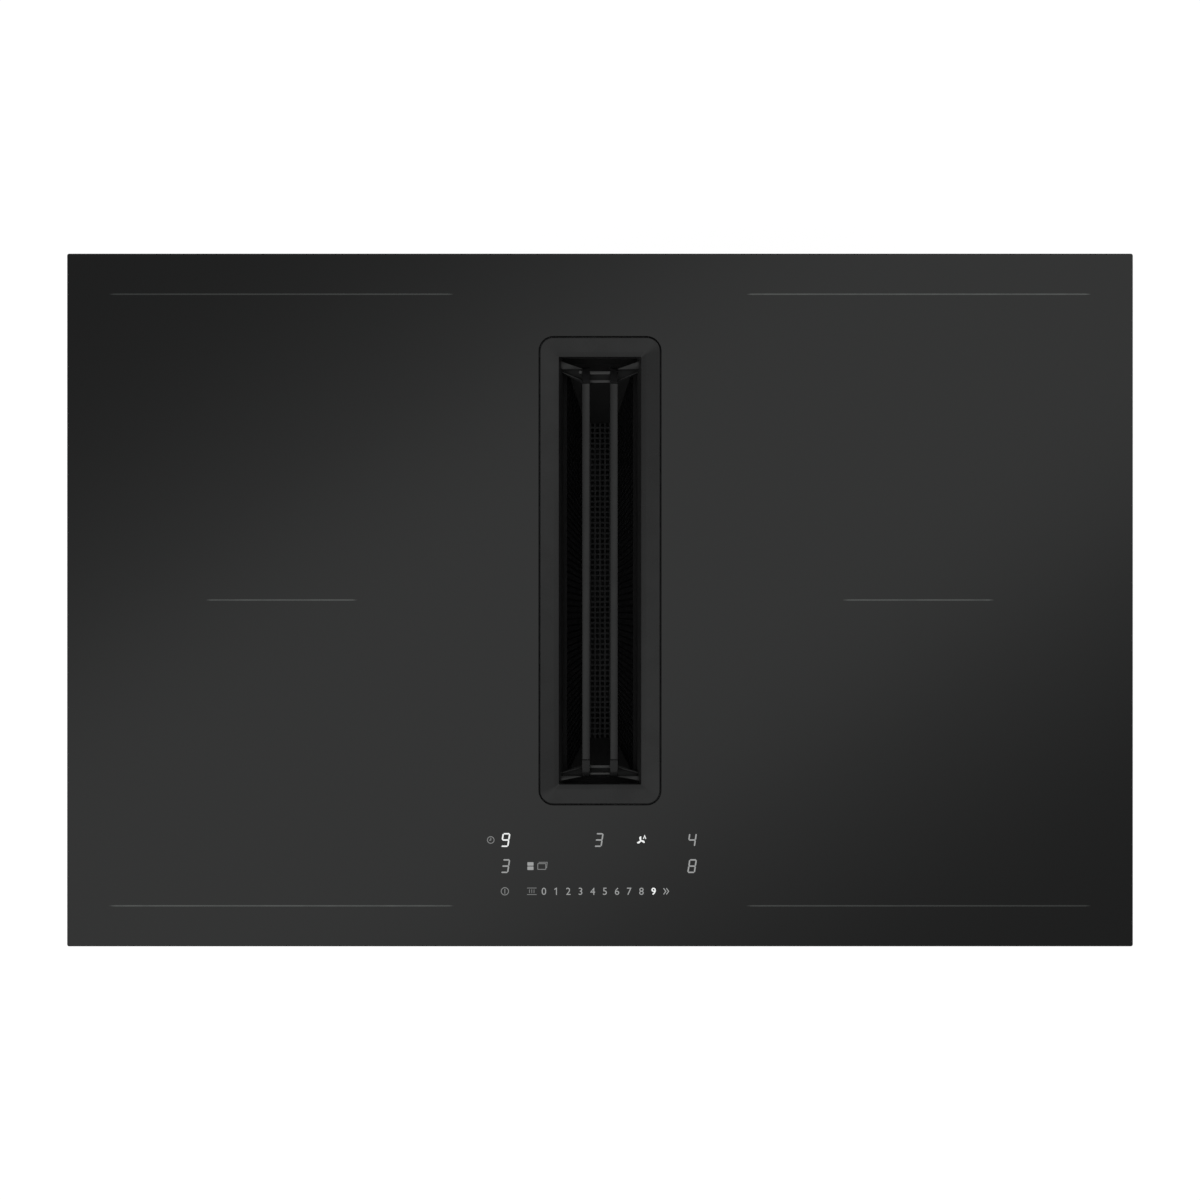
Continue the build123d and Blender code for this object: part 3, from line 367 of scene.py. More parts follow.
# ---------------------------------------------------------------- finishes
class NodeBench:
    """Adds and joins the nodes of one tree."""

    def __init__(self, tree: bpy.types.NodeTree) -> None:
        """Take the tree to work on."""
        self.tree = tree

    def feed(self, node: bpy.types.Node, inputs: dict) -> bpy.types.Node:
        """Set each input of a node, by name or number, to a value or link an output socket to it."""
        for key, value in inputs.items():
            if isinstance(value, bpy.types.NodeSocket):
                self.tree.links.new(value, node.inputs[key])
            else:
                node.inputs[key].default_value = value
        return node

    def add(self, kind: str, inputs: dict | None = None, **settings: object) -> bpy.types.Node:
        """Add a node, set it up and feed its inputs.

        Args:
            kind: Node type without its common prefix.
            inputs: A value or an output socket for each input, by name or number.
            **settings: Attributes of the node.

        Returns:
            The node.
        """
        node = self.tree.nodes.new("ShaderNode" + kind)
        for key, value in settings.items():
            setattr(node, key, value)
        return self.feed(node, inputs or {})

    def effect(self, effect: Effect, scale: float) -> bpy.types.Node:
        """Add a shared effect, laid over the object's own coordinates."""
        where = self.add("TexCoord").outputs["Object"]
        return self.add("Group", {"Vector": where, "Scale": scale}, node_tree=EffectGroups.get(effect))

    def maths(self, operation: str, *values: object) -> bpy.types.NodeSocket:
        """Add a sum of sockets and numbers and give its output."""
        return self.add("Math", dict(enumerate(values)), operation=operation).outputs[0]

    def blend(self, mask: object, first: Sequence[float], second: Sequence[float]) -> bpy.types.NodeSocket:
        """Mix two colours by a mask."""
        return self.add("Mix", {0: mask, 6: (*first, 1), 7: (*second, 1)}, data_type="RGBA").outputs[2]


def new_material(name: str, bare: bool = False) -> tuple[bpy.types.Material, NodeBench]:
    """Start a material and its bench, with the Principled shader or bare."""
    material = bpy.data.materials.new(name)
    material.use_nodes = True
    if bare:
        material.node_tree.nodes.clear()
    return material, NodeBench(material.node_tree)


class EffectGroups:
    """Builds each shared surface effect once, with the same sockets on all of them."""

    @classmethod
    @cache
    def get(cls, effect: Effect) -> bpy.types.NodeTree:
        """Give the node group of an effect.

        Args:
            effect: Which effect.

        Returns:
            A group that takes Vector and Scale and gives Height and Mask.
        """
        tree = bpy.data.node_groups.new(effect.value, "ShaderNodeTree")
        for socket, way, kind in (("Vector", "INPUT", "Vector"), ("Scale", "INPUT", "Float"),
                                  ("Height", "OUTPUT", "Float"), ("Mask", "OUTPUT", "Float")):
            tree.interface.new_socket(socket, in_out=way, socket_type="NodeSocket" + kind)
        bench = NodeBench(tree)
        start = tree.nodes.new("NodeGroupInput")
        build = getattr(cls, effect.name.lower())
        height, mask = build(bench, start.outputs["Vector"], start.outputs["Scale"])
        end = tree.nodes.new("NodeGroupOutput")
        tree.links.new(height, end.inputs["Height"])
        tree.links.new(mask, end.inputs["Mask"])
        return tree

    @staticmethod
    def grain(bench: NodeBench, vector: object, scale: object) -> tuple:
        """Spark-eroded mould texture with slow patches."""
        fine = bench.add("TexNoise", {"Vector": vector, "Scale": scale, "Detail": 3.0, "Roughness": 0.6})
        wide = bench.maths("MULTIPLY", scale, 0.02)
        slow = bench.add("TexNoise", {"Vector": vector, "Scale": wide, "Detail": 2.0})
        return fine.outputs[0], slow.outputs[0]

    @staticmethod
    def spangle(bench: NodeBench, vector: object, scale: object) -> tuple:
        """Crystal flakes of hot-dipped zinc."""
        double = bench.maths("MULTIPLY", scale, 2.0)
        bend = bench.add("TexNoise", {"Vector": vector, "Scale": double, "Detail": 1.0})
        moved = bench.add("VectorMath", {0: bend.outputs["Color"], 1: (0.004, 0.004, 0.004), 2: vector},
                          operation="MULTIPLY_ADD")
        cells = bench.add("TexVoronoi", {"Vector": moved.outputs[0], "Scale": scale})
        tone = bench.add("SeparateColor", {0: cells.outputs["Color"]})
        mask = bench.add("MapRange", {0: tone.outputs[0], 3: 0.3, 4: 0.7})
        return cells.outputs["Distance"], mask.outputs[0]

    @staticmethod
    def brushed(bench: NodeBench, vector: object, scale: object) -> tuple:
        """Fine streaks along Y, as rolling leaves them."""
        drawn = bench.add("VectorMath", {0: vector, 1: (1.0, 0.02, 1.0)}, operation="MULTIPLY")
        streak = bench.add("TexNoise", {"Vector": drawn.outputs[0], "Scale": scale, "Detail": 4.0})
        return streak.outputs[0], streak.outputs[0]

    @staticmethod
    def winding(bench: NodeBench, vector: object, scale: object) -> tuple:
        """Turns of stranded wire round the middle of each coil."""
        folded = bench.add("VectorMath", {0: vector}, operation="ABSOLUTE")
        offset = bench.add("VectorMath", {0: folded.outputs[0], 1: (0.239, 0.113, 0.0)}, operation="SUBTRACT")
        flat = bench.add("VectorMath", {0: offset.outputs[0], 1: (1.0, 1.0, 0.0)}, operation="MULTIPLY")
        distance = bench.add("VectorMath", {0: flat.outputs[0]}, operation="LENGTH").outputs["Value"]
        turns = bench.maths("FRACT", bench.maths("MULTIPLY", distance, scale))
        bulge = bench.maths("SINE", bench.maths("MULTIPLY", turns, pi))
        strands = bench.add("TexNoise", {"Vector": vector, "Scale": bench.maths("MULTIPLY", scale, 8.0)})
        return bench.maths("ADD", bulge, bench.maths("MULTIPLY", strands.outputs[0], 0.2)), bulge

    @staticmethod
    def traces(bench: NodeBench, vector: object, scale: object) -> tuple:
        """Copper tracks under a board's lacquer."""
        cells = bench.add("TexVoronoi", {"Vector": vector, "Scale": scale}, distance="MANHATTAN")
        steps = bench.maths("FRACT", bench.maths("MULTIPLY", cells.outputs["Distance"], 4.0))
        track = bench.maths("GREATER_THAN", steps, 0.62)
        return track, track


@dataclass(frozen=True)
class Finish:
    """A solid surface: the record's slot it belongs to, two tones, a gloss and one shared effect."""

    name: str
    slot: str
    colour: Triple
    second: Triple
    roughness: Point
    metallic: float = 0.0
    effect: Effect = Effect.GRAIN
    scale: float = 900.0
    bump: float = 0.15
    bump_depth: float = 0.00005
    coat: float = 0.0

    @cache
    def make(self) -> bpy.types.Material:
        """Build the material once."""
        material, bench = new_material(self.name)
        height, mask = bench.effect(self.effect, self.scale).outputs
        rough_low, rough_high = self.roughness
        tone = bench.add("MapRange", {0: mask, 1: 0.3, 2: 0.7, 3: 0.0, 4: 1.0})
        gloss = bench.add("MapRange", {0: mask, 1: 0.25, 2: 0.75, 3: rough_low, 4: rough_high})
        bump = bench.add("Bump", {"Height": height, "Strength": self.bump, "Distance": self.bump_depth})
        colour = bench.blend(tone.outputs[0], self.colour, self.second)
        bench.feed(bench.tree.nodes["Principled BSDF"], {
            "Base Color": colour, "Roughness": gloss.outputs[0], "Normal": bump.outputs[0],
            "Metallic": self.metallic, "Coat Weight": self.coat})
        return material


@dataclass(frozen=True)
class LitMark:
    """A mark that a lamp under the glass lights up."""

    glow: Glow
    slot: str = "black_glass"
    tint: Triple = (0.98, 1.0, 0.99)
    unevenness: float = 0.94

    @cache
    def make(self) -> bpy.types.Material:
        """Build the material once."""
        material, bench = new_material(f"lit_mark_{self.glow.name.lower()}")
        speckle = bench.effect(Effect.GRAIN, 5000.0).outputs["Height"]
        high = tuple(self.glow.value * tint for tint in self.tint)
        low = tuple(light * self.unevenness for light in high)
        bench.feed(bench.tree.nodes["Principled BSDF"], {
            "Emission Color": bench.blend(speckle, low, high), "Emission Strength": 0.92,
            "Base Color": (0.02, 0.02, 0.02, 1), "Roughness": 0.12})
        return material


def cool(grey: float, blue: float) -> Triple:
    """Give a grey with a blue of its own."""
    return grey, grey, blue


GLASS = Finish("black_glass_ceramic", "black_glass", (0.0030, 0.0031, 0.0031), cool(0.0024, 0.0025),
               (0.03, 0.05), scale=60.0, bump=0.0)
PRINT = Finish("silver_grey_print", "black_glass", (0.125, 0.130, 0.127), (0.110, 0.114, 0.112), (0.16, 0.22),
               metallic=1.0, scale=4000.0, bump=0.05)
CASTING = Finish("satin_black_enamel", "black_casting", cool(0.0045, 0.0047), cool(0.0035, 0.0037),
                 (0.22, 0.30), scale=2600.0, bump=0.05, bump_depth=0.00002)
# Painted light: the bar ends get a lighter copy of the satin enamel, which lifts the tone of their shaded
# bends.
PAINTED_LIGHT_CASTING = replace(CASTING, name="painted_light_black_enamel", colour=cool(0.0100, 0.0102),
                       second=cool(0.0085, 0.0087))
# Painted highlight: a much lighter copy of the satin enamel on the braces' lips paints the bright lines along
# them.
PAINTED_HIGHLIGHT_ENAMEL = replace(CASTING, name="painted_highlight_black_edge", colour=cool(0.023, 0.023),
                      second=cool(0.019, 0.019))
MATT_CASTING = replace(CASTING, name="matt_black_enamel", colour=cool(0.0060, 0.0062),
                       second=cool(0.0045, 0.0047), roughness=(0.55, 0.7), bump=0.1)
# Partly painted light: the throat's enamel is rougher than the frame's, and its colour is lighter to lift the
# tone of the shaded throat walls.
THROAT_ENAMEL = replace(CASTING, name="eggshell_black_enamel_painted_light", colour=cool(0.018, 0.018),
                        second=cool(0.015, 0.015), roughness=(0.45, 0.55), bump=0.08)
MESH_STEEL = Finish("blackened_mesh", "filter_steel", cool(0.0155, 0.0163), cool(0.0085, 0.0090), (0.35, 0.5),
                    metallic=0.6, effect=Effect.BRUSHED, bump=0.2)
PLAIN_STEEL = Finish("blackened_sheet", "filter_steel", cool(0.011, 0.011), cool(0.008, 0.008), (0.7, 0.85),
                     effect=Effect.BRUSHED, bump=0.1)
# Painted shade: a darker copy of the blackened sheet for the filter's frame and rolled edges, which lie in
# shade.
SHADED_FOLDED_STEEL = replace(PLAIN_STEEL, name="blackened_folded_edge_painted_shade", colour=cool(0.0035, 0.0036),
                       second=cool(0.0025, 0.0026), roughness=(0.8, 0.9))
ZINC = Finish("galvanised_sheet", "zinc_sheet", (0.56, 0.575, 0.59), (0.68, 0.695, 0.71), (0.30, 0.48),
              metallic=0.9, effect=Effect.SPANGLE, scale=120.0, bump=0.04)
DUCT_PLASTIC = Finish("moulded_black_polypropylene", "duct_plastic", cool(0.022, 0.024), cool(0.030, 0.032),
                      (0.42, 0.58), scale=2200.0, bump=0.35, bump_depth=0.00004)
BLACK_PLASTIC = Finish("moulded_black_nylon", "black_plastic", cool(0.014, 0.015), cool(0.020, 0.021),
                       (0.35, 0.5), scale=1800.0, bump=0.25)
TRAY_PLASTIC = replace(BLACK_PLASTIC, name="moulded_black_tray", colour=cool(0.005, 0.0055),
                       second=cool(0.007, 0.0075), roughness=(0.42, 0.58))
PALE_PLASTIC = Finish("glass_filled_carrier", "pale_plastic", (0.72, 0.69, 0.62), (0.78, 0.75, 0.69),
                      (0.45, 0.6), scale=1500.0)
SEAL_FOAM = Finish("closed_cell_foam", "seal_foam", cool(0.020, 0.021), cool(0.034, 0.035), (0.75, 0.95),
                   scale=3200.0, bump=0.9, bump_depth=0.0002)
COPPER = Finish("stranded_copper", "litz_copper", (0.30, 0.11, 0.045), (0.68, 0.30, 0.14), (0.3, 0.42),
                metallic=1.0, effect=Effect.WINDING, scale=330.0, bump=0.8, bump_depth=0.0008)
MICA = Finish("mica_board", "mica", (0.52, 0.43, 0.30), (0.66, 0.58, 0.45), (0.3, 0.55), scale=700.0,
              bump=0.2)
FERRITE = Finish("sintered_ferrite", "ferrite", cool(0.055, 0.06), cool(0.08, 0.085), (0.4, 0.6),
                 scale=2000.0, bump=0.3)
ALUMINIUM = Finish("mill_aluminium", "bare_aluminium", (0.62, 0.63, 0.64), (0.74, 0.75, 0.76), (0.25, 0.42),
                   metallic=1.0, effect=Effect.BRUSHED, scale=1400.0, bump=0.1)
BOARD = Finish("green_circuit_board", "circuit_board", (0.02, 0.15, 0.06), (0.035, 0.24, 0.09), (0.25, 0.35),
               effect=Effect.TRACES, scale=70.0, bump=0.3, bump_depth=0.00006, coat=0.3)
STEEL = Finish("bright_zinc_steel", "bright_steel", cool(0.50, 0.51), cool(0.66, 0.67), (0.2, 0.34),
               metallic=1.0, effect=Effect.BRUSHED, scale=2200.0, bump=0.08)

SLOT_FINISHES: dict[str, Finish] = {finish.slot: finish for finish in (
    GLASS, SEAL_FOAM, ZINC, CASTING, MESH_STEEL, DUCT_PLASTIC, COPPER, PALE_PLASTIC, MICA, FERRITE,
    ALUMINIUM, BOARD, BLACK_PLASTIC, STEEL)}
# The filter frame gets the darker copy of the sheet: painted shade.
NODE_FINISHES: dict[str, Finish] = {"filter_frame": SHADED_FOLDED_STEEL, "catch_tray": TRAY_PLASTIC}


# ---------------------------------------------------------------- the glass and what shows on it
@dataclass
class GlassTop:
    """The glass panel with its softened edges, and the lines that mark its cooking zones."""

    width: float = 800.0
    depth: float = 520.0
    bottom: float = 2.0
    top: float = 6.0
    edge: float = 0.7
    corner: float = 1.5
    cutout: Triple = (92.0, 352.0, 11.0)
    cutout_back: float = 22.0
    cutout_edge: float = 0.25
    arris: float = 0.25
    flat_band: float = 0.06
    line_width: float = 1.0
    line_fade: float = 4.0
    long_lines: Triple = (109.8, 368.5, 229.5)
    short_lines: Point = (182.0, 296.0)

    def outer(self, inset: float, height: float) -> Loop:
        """Give the panel's outline drawn in by an inset."""
        return rounded_loop((self.width - 2 * inset, self.depth - 2 * inset), self.corner, height)

    def inner(self, outset: float, height: float) -> Loop:
        """Give the cut-out's outline widened by an outset."""
        width, depth, radius = self.cutout
        size = (width + 2 * outset, depth + 2 * outset)
        return rounded_loop(size, radius + outset, height, (0, self.cutout_back))

    def rounding(self, section: Callable[[float, float], Loop], radius: float) -> list[Loop]:
        """Round an upper edge from its foot to the flat, with a narrow band that keeps the flat true."""
        loops = [section(-outset, height) for outset, height in rounded_edge(radius, self.top - radius)]
        return loops + [section(radius + self.flat_band, self.top)]

    def panel(self) -> None:
        """Build the glass."""
        work = Workpiece()
        foot = self.bottom + self.arris
        outside, inside = ([section(self.arris, self.bottom), section(0, foot), *self.rounding(section, edge)]
                           for section, edge in ((self.outer, self.edge), (self.inner, self.cutout_edge)))
        work.loft(outside + inside[::-1], cyclic=True)
        work.dress("glass_panel_edged", GLASS, stands_for=["glass_panel"])

    def zone_lines(self) -> None:
        """Build the printed lines, which thin out at their ends."""
        work = Workpiece()
        near, far, across = self.long_lines
        spans = [(sx * near, sx * far, sy * across) for sx in (-1, 1) for sy in (-1, 1)]
        spans += [(sx * self.short_lines[0], sx * self.short_lines[1], 0.0) for sx in (-1, 1)]
        half = self.line_width / 2
        for start, end, y in spans:
            low, high = sorted((start, end))
            left, right = low + self.line_fade, high - self.line_fade
            outline = [(low, y), (left, y - half), (right, y - half), (high, y), (right, y + half),
                       (left, y + half)]
            work.prism(outline, self.top - 0.02, self.top + 0.03)
        work.dress("zone_lines", PRINT)

    def build(self) -> None:
        """Build the glass and its lines."""
        self.panel()
        self.zone_lines()


@dataclass
class ControlField:
    """The digits, symbols and slider numbers that shine through the front of the glass."""

    bottom: float = 5.98
    top: float = 6.03
    digit_width: float = 5.9
    digit_height: float = 10.4
    digit_lean: float = 0.155
    digit_stroke: float = 1.05
    digit_tip: float = 0.42
    digit_gap: float = 0.08
    rear_row: float = -180.1
    front_row: float = -199.7
    slider_row: float = -218.6
    slider_start: float = -42.1
    slider_pitch: float = 9.15
    slider_height: float = 5.4
    symbol_stroke: float = 0.6

    SEGMENTS = {
        "top": ((-1, 1), (1, 1)), "top_left": ((-1, 1), (-1, 0)), "top_right": ((1, 1), (1, 0)),
        "middle": ((-1, 0), (1, 0)), "low_left": ((-1, 0), (-1, -1)), "low_right": ((1, 0), (1, -1)),
        "base": ((-1, -1), (1, -1)),
    }
    LIT = {
        3: ("top", "top_right", "middle", "low_right", "base"),
        4: ("top_left", "top_right", "middle", "low_right"),
        8: ("top", "top_left", "top_right", "middle", "low_left", "low_right", "base"),
        9: ("top", "top_left", "top_right", "middle", "low_right", "base"),
    }

    def draw(self, name: str, glow: Glow, strokes: Sequence[tuple[Plan, float, bool]],
             plates: Sequence[tuple[Plan, float]] = ()) -> None:
        """Draw a mark and light it.

        Args:
            name: Name of the piece.
            glow: How brightly it shines.
            strokes: Each stroke's points and width, and whether it is closed.
            plates: Outlines to fill, and how far each stands above the mark's face.
        """
        work = Workpiece()
        for outline, lift in plates:
            work.prism(outline, self.bottom, self.top + lift)
        for points, width, closed in strokes:
            work.ribbon(points, width, self.bottom, self.top, closed)
        work.dress(name, LitMark(glow))

    def digit(self, number: int, at: Point, name: str, glow: Glow) -> None:
        """Draw a leaning seven-segment digit.

        Args:
            number: Which digit.
            at: Its middle.
            name: Name of the piece.
            glow: How brightly it shines.
        """
        work = Workpiece()
        half_w = (self.digit_width - self.digit_stroke) / 2
        half_h = (self.digit_height - self.digit_stroke) / 2
        for segment in self.LIT[number]:
            start, end = (Vector((at[0] + sx * half_w + self.digit_lean * (sy * half_h), at[1] + sy * half_h))
                          for sx, sy in self.SEGMENTS[segment])
            way = (end - start).normalized()
            across = Vector((-way.y, way.x)) * self.digit_stroke / 2
            tip = way * self.digit_stroke * self.digit_tip
            start, end = start + way * self.digit_gap, end - way * self.digit_gap
            corners = [start, start + tip - across, end - tip - across, end, end - tip + across,
                       start + tip + across]
            work.prism([tuple(corner) for corner in corners], self.bottom, self.top)
        work.dress(name, LitMark(glow))

    def rear_symbols(self) -> None:
        """Draw the clock beside the first digit, and the three-bladed fan with the tick at its shoulder."""
        thin = self.symbol_stroke
        x, y = -82.0, self.rear_row
        hands = [(x + 0.1, y + 1.7), (x + 0.1, y - 0.1), (x - 1.3, y - 0.1)]
        self.draw("timer_symbol", Glow.DIM, [(circle(2.5, 32, (x, y)), thin, True), (hands, thin, False)])
        x, y = 30.6, self.rear_row - 0.5
        blade = [(0.2, 0.35), (1.2, 0.95), (2.5, 0.9), (3.3, 0.1), (3.0, -0.75), (2.2, -0.5), (1.1, -0.45),
                 (0.2, -0.4)]
        plates = []
        for turn in (95, 215, 335):
            c, s = cos(radians(turn)), sin(radians(turn))
            plates.append(([(x + u * c - v * s, y + u * s + v * c) for u, v in blade], 0.0))
        plates.append((circle(0.7, 12, (x, y)), 0.002))
        tick = [(x + 2.0, y + 1.3), (x + 2.9, y + 3.8), (x + 3.8, y + 1.3)]
        self.draw("fan_symbol", Glow.BRIGHT, [(tick, 0.7, False)], plates)

    def front_symbols(self) -> None:
        """Draw the joined-zones squares, the pan outline, the main switch and the keep-warm mark."""
        squares = [(rounded_outline(4.6, 2.65, 0.4, (-52.2, self.front_row + middle), 3), 0.0)
                   for middle in (1.6, -1.6)]
        self.draw("joined_zone_symbol", Glow.PLAIN, [], squares)
        x, y = -43.7, self.front_row - 0.3
        handle = [(x - 2.3, y + 3.1), (x + 4.1, y + 3.2), (x + 3.6, y - 1.2)]
        self.draw("pan_symbol", Glow.DIM, [(rounded_outline(6.0, 4.3, 0.35, (x, y), 3), 0.55, True),
                                           (handle, 0.5, False)])
        x, y, thin = -71.4, self.slider_row, self.symbol_stroke
        self.draw("power_symbol", Glow.DIM, [(circle(2.75, 32, (x, y)), thin, True),
                                             ([(x, y - 1.75), (x, y + 1.75)], thin, False)])
        x = -51.2
        bars = [([(x - 3.6, y + height), (x + 3.6, y + height)], 0.45, False) for height in (2.45, -2.45)]
        waves = [([(x + column + 0.35 * sin(3.2 * t), y - 1.35 + 2.7 * t / 6) for t in range(7)], 0.4, False)
                 for column in (-1.7, 0, 1.7)]
        self.draw("keep_warm_symbol", Glow.DIM, bars + waves)

    def numeral(self, work: Workpiece, text: str, x: float, weight: float) -> None:
        """Set one plain upright numeral on the slider.

        Args:
            work: The mesh to add it to.
            text: The numeral.
            x: Its middle.
            weight: How much its strokes are thickened.
        """
        curve = bpy.data.curves.new("numeral", "FONT")
        curve.body = text
        curve.offset = weight
        curve.resolution_u = 4
        setting = link("numeral", curve)
        bpy.context.view_layer.update()
        face = bpy.data.meshes.new_from_object(setting.evaluated_get(bpy.context.evaluated_depsgraph_get()))
        xs = [vert.co.x for vert in face.vertices]
        ys = [vert.co.y for vert in face.vertices]
        size = self.slider_height / (max(ys) - min(ys))
        letter = bmesh.new()
        letter.from_mesh(face)
        for vert in letter.verts:
            vert.co = Vector((x + (vert.co.x - (min(xs) + max(xs)) / 2) * size,
                              self.slider_row + (vert.co.y - (min(ys) + max(ys)) / 2) * size, self.top))
        bmesh.ops.remove_doubles(letter, verts=letter.verts, dist=0.001)
        bmesh.ops.recalc_face_normals(letter, faces=letter.faces)
        walls = bmesh.ops.extrude_face_region(letter, geom=letter.faces[:])["geom"]
        for vert in (item for item in walls if isinstance(item, bmesh.types.BMVert)):
            vert.co.z = self.bottom
        letter.to_mesh(face)
        letter.free()
        work.mesh.from_mesh(face)
        bpy.data.objects.remove(setting)
        bpy.data.meshes.remove(face)
        bpy.data.curves.remove(curve)

    def slider(self) -> None:
        """Set the numerals of the slider and the mark beyond them."""
        plain, chosen = Workpiece(), Workpiece()
        for number in range(10):
            x = self.slider_start + number * self.slider_pitch
            picked = number == 9
            if number == 1:
                half = self.slider_height / 2
                stroke = [(x - 1.25, self.slider_row + 1.3), (x + 0.25, self.slider_row + half - 0.35),
                          (x + 0.25, self.slider_row - half)]
                plain.ribbon(stroke, 0.7, self.bottom, self.top)
            else:
                self.numeral(chosen if picked else plain, str(number), x, 0.018 if picked else 0.0)
        plain.dress("slider_numerals", LitMark(Glow.PLAIN))
        chosen.dress("slider_chosen_numeral", LitMark(Glow.BRIGHT))
        x, y = self.slider_start + 10 * self.slider_pitch - 0.2, self.slider_row
        arrows = [[(x + step, y - 2.3), (x + step + 1.7, y), (x + step, y + 2.3)] for step in (-1.5, 0.6)]
        self.draw("boost_mark", Glow.PLAIN, [(arrow, 0.7, False) for arrow in arrows])

    def build(self) -> None:
        """Draw everything that the control field shows."""
        rear, front = self.rear_row, self.front_row
        for number, at, place, glow in ((9, (-70.9, rear), "rear_left", Glow.BRIGHT),
                                        (3, (-0.9, rear), "fan", Glow.PLAIN),
                                        (4, (69.1, rear), "rear_right", Glow.PLAIN),
                                        (3, (-71.0, front), "front_left", Glow.PLAIN),
                                        (8, (69.1, front), "front_right", Glow.PLAIN)):
            self.digit(number, at, f"digit_{place}", glow)
        self.rear_symbols()
        self.front_symbols()
        self.slider()


# ---------------------------------------------------------------- grille and filter
@dataclass
class CoverGrille:
    """The lift-off grille: a dished frame and its throat, two bars with bent ends, and two braces."""

    back: float = 22.0
    outer: Triple = (90.0, 350.0, 10.0)
    opening: Point = (61.6, 320.8)
    lip_width: float = 3.5
    top: float = 6.0
    lip_top: float = 4.6
    edge_top: float = 4.5
    round_edge: float = 0.5
    skirt_bottom: float = -12.0
    side_draft: float = 2.8
    end_draft: float = 0.3
    skirt_wall: float = 2.0
    bar_width: float = 6.0
    bar_height: float = 8.0
    bar_apart: float = 21.0
    bar_top: float = 5.0
    bar_half_length: float = 141.3
    bar_shift: float = -0.6
    bar_joint: float = 0.5
    bar_end_drop: float = 0.5
    front_slope: float = 22.0
    back_slope: float = 50.0
    bar_bend: float = 8.0
    bar_end: float = 154.6
    foot: float = -13.7
    brace_top: float = -6.7
    back_lips: tuple[float, float, float, float] = (141.8, 144.1, 148.1, 150.6)
    back_wings: tuple[float, float, float, float] = (143.2, 150.0, 151.9, 158.4)
    front_lips: tuple[float, float, float, float] = (146.6, 148.8, 152.1, 153.8)
    front_wings: tuple[float, float, float, float] = (147.9, 152.2, 154.6, 158.5)
    wing_edge: float = 0.7
    stud: Triple = (-14.8, 149.8, 1.35)

    def section(self, width: float, length: float, radius: float, height: float) -> Loop:
        """Give one loop of the frame."""
        return rounded_loop((width, length), radius, height, (0, self.back), 10)

    def frame_loops(self) -> list[Loop]:
        """Give the loops of the frame, up its outside, over its dished face and back to its underside."""
        width, length, radius = self.outer
        steps = [(-0.3, 0.0), (0.0, 0.3), *rounded_edge(self.round_edge, self.top - self.round_edge),
                 (-self.round_edge - 0.15, self.top - 0.01)]
        loops = [self.section(width + 2 * outset, length + 2 * outset, radius + outset, height)
                 for outset, height in steps]
        mouth_w, mouth_l = self.opening
        for outset, height, bend in ((self.lip_width + 0.3, self.lip_top + 0.02, 1.8),
                                     (self.lip_width, self.lip_top, 1.6),
                                     (self.lip_width - 0.3, self.lip_top - 0.08, 1.5),
                                     (0.35, self.edge_top + 0.02, 0.7), (0.12, self.edge_top - 0.06, 0.6),
                                     (0.0, self.edge_top - 0.25, 0.5), (0.0, 0.0, 0.5)):
            loops.append(self.section(mouth_w + 2 * outset, mouth_l + 2 * outset, bend, height))
        return loops

    def throat_loops(self) -> list[Loop]:
        """Give the loops of the tapered throat under the frame."""
        mouth_w, mouth_l = self.opening
        foot_w, foot_l = mouth_w - 2 * self.side_draft, mouth_l - 2 * self.end_draft
        wall = 2 * self.skirt_wall
        return [self.section(mouth_w, mouth_l, 0.5, 0.0),
                self.section(foot_w, foot_l, 0.5, self.skirt_bottom),
                self.section(foot_w + wall, foot_l + wall, 2.0, self.skirt_bottom),
                self.section(mouth_w + wall, mouth_l + wall, 2.0, 0.0)]

    def bar_section(self, x: float, y: float, z: float, lean: float) -> Loop:
        """Give the bar's section where its top passes a point.

        Args:
            x: Middle of the bar.
            y: Distance from the grille's middle, to the back.
            z: Height of the bar's top there.
            lean: How far the top has turned over, in radians.

        Returns:
            The section's points.
        """
        half, soft = self.bar_width / 2, 0.8
        corners = [(-half, -self.bar_height + 0.4), (-half + 0.4, -self.bar_height),
                   (half - 0.4, -self.bar_height), (half, -self.bar_height + 0.4)]
        round_top = [(half - soft + soft * cos(turn), -soft + soft * sin(turn))
                     for turn in (radians(30 * step) for step in range(4))]
        corners += round_top + [(-across, up) for across, up in round_top[::-1]]
        back = self.back + self.bar_shift
        return [(x + across, back + y + up * sin(lean), z + up * cos(lean)) for across, up in corners]

    def bar(self, x: float) -> Workpiece:
        """Build the straight top strip of one bar."""
        work = Workpiece()
        soft = 0.35
        ends = [(-self.bar_half_length, 0.4), (-self.bar_half_length + soft, 0.0)]
        ends += [(-y, drop) for y, drop in ends[::-1]]
        work.loft([self.bar_section(x, y, self.bar_top - drop, 0.0) for y, drop in ends])
        return work

    def bar_ends(self) -> Workpiece:
        """Build the end pieces of both bars, which slope down and bend over to a foot."""
        work = Workpiece()
        start, top = self.bar_half_length + self.bar_joint, self.bar_top - self.bar_end_drop
        for end, angle in ((-1, self.front_slope), (1, self.back_slope)):
            slope = radians(angle)
            bend_y = self.bar_end - self.bar_bend * (1 - sin(slope))
            bend_z = top - (bend_y - start) * tan(slope)
            stations = [(start, top, slope), (bend_y - 0.2, bend_z + 0.2 * tan(slope), slope)]
            for step in range(6):
                lean = slope + (pi / 2 - slope) * step / 5
                stations.append((bend_y + self.bar_bend * (sin(lean) - sin(slope)),
                                 bend_z - self.bar_bend * (cos(slope) - cos(lean)), lean))
            stations.append((self.bar_end, self.foot, pi / 2))
            for side in (-1, 1):
                work.loft([self.bar_section(side * self.bar_apart / 2, end * y, z, end * lean)
                           for y, z, lean in stations])
        return work

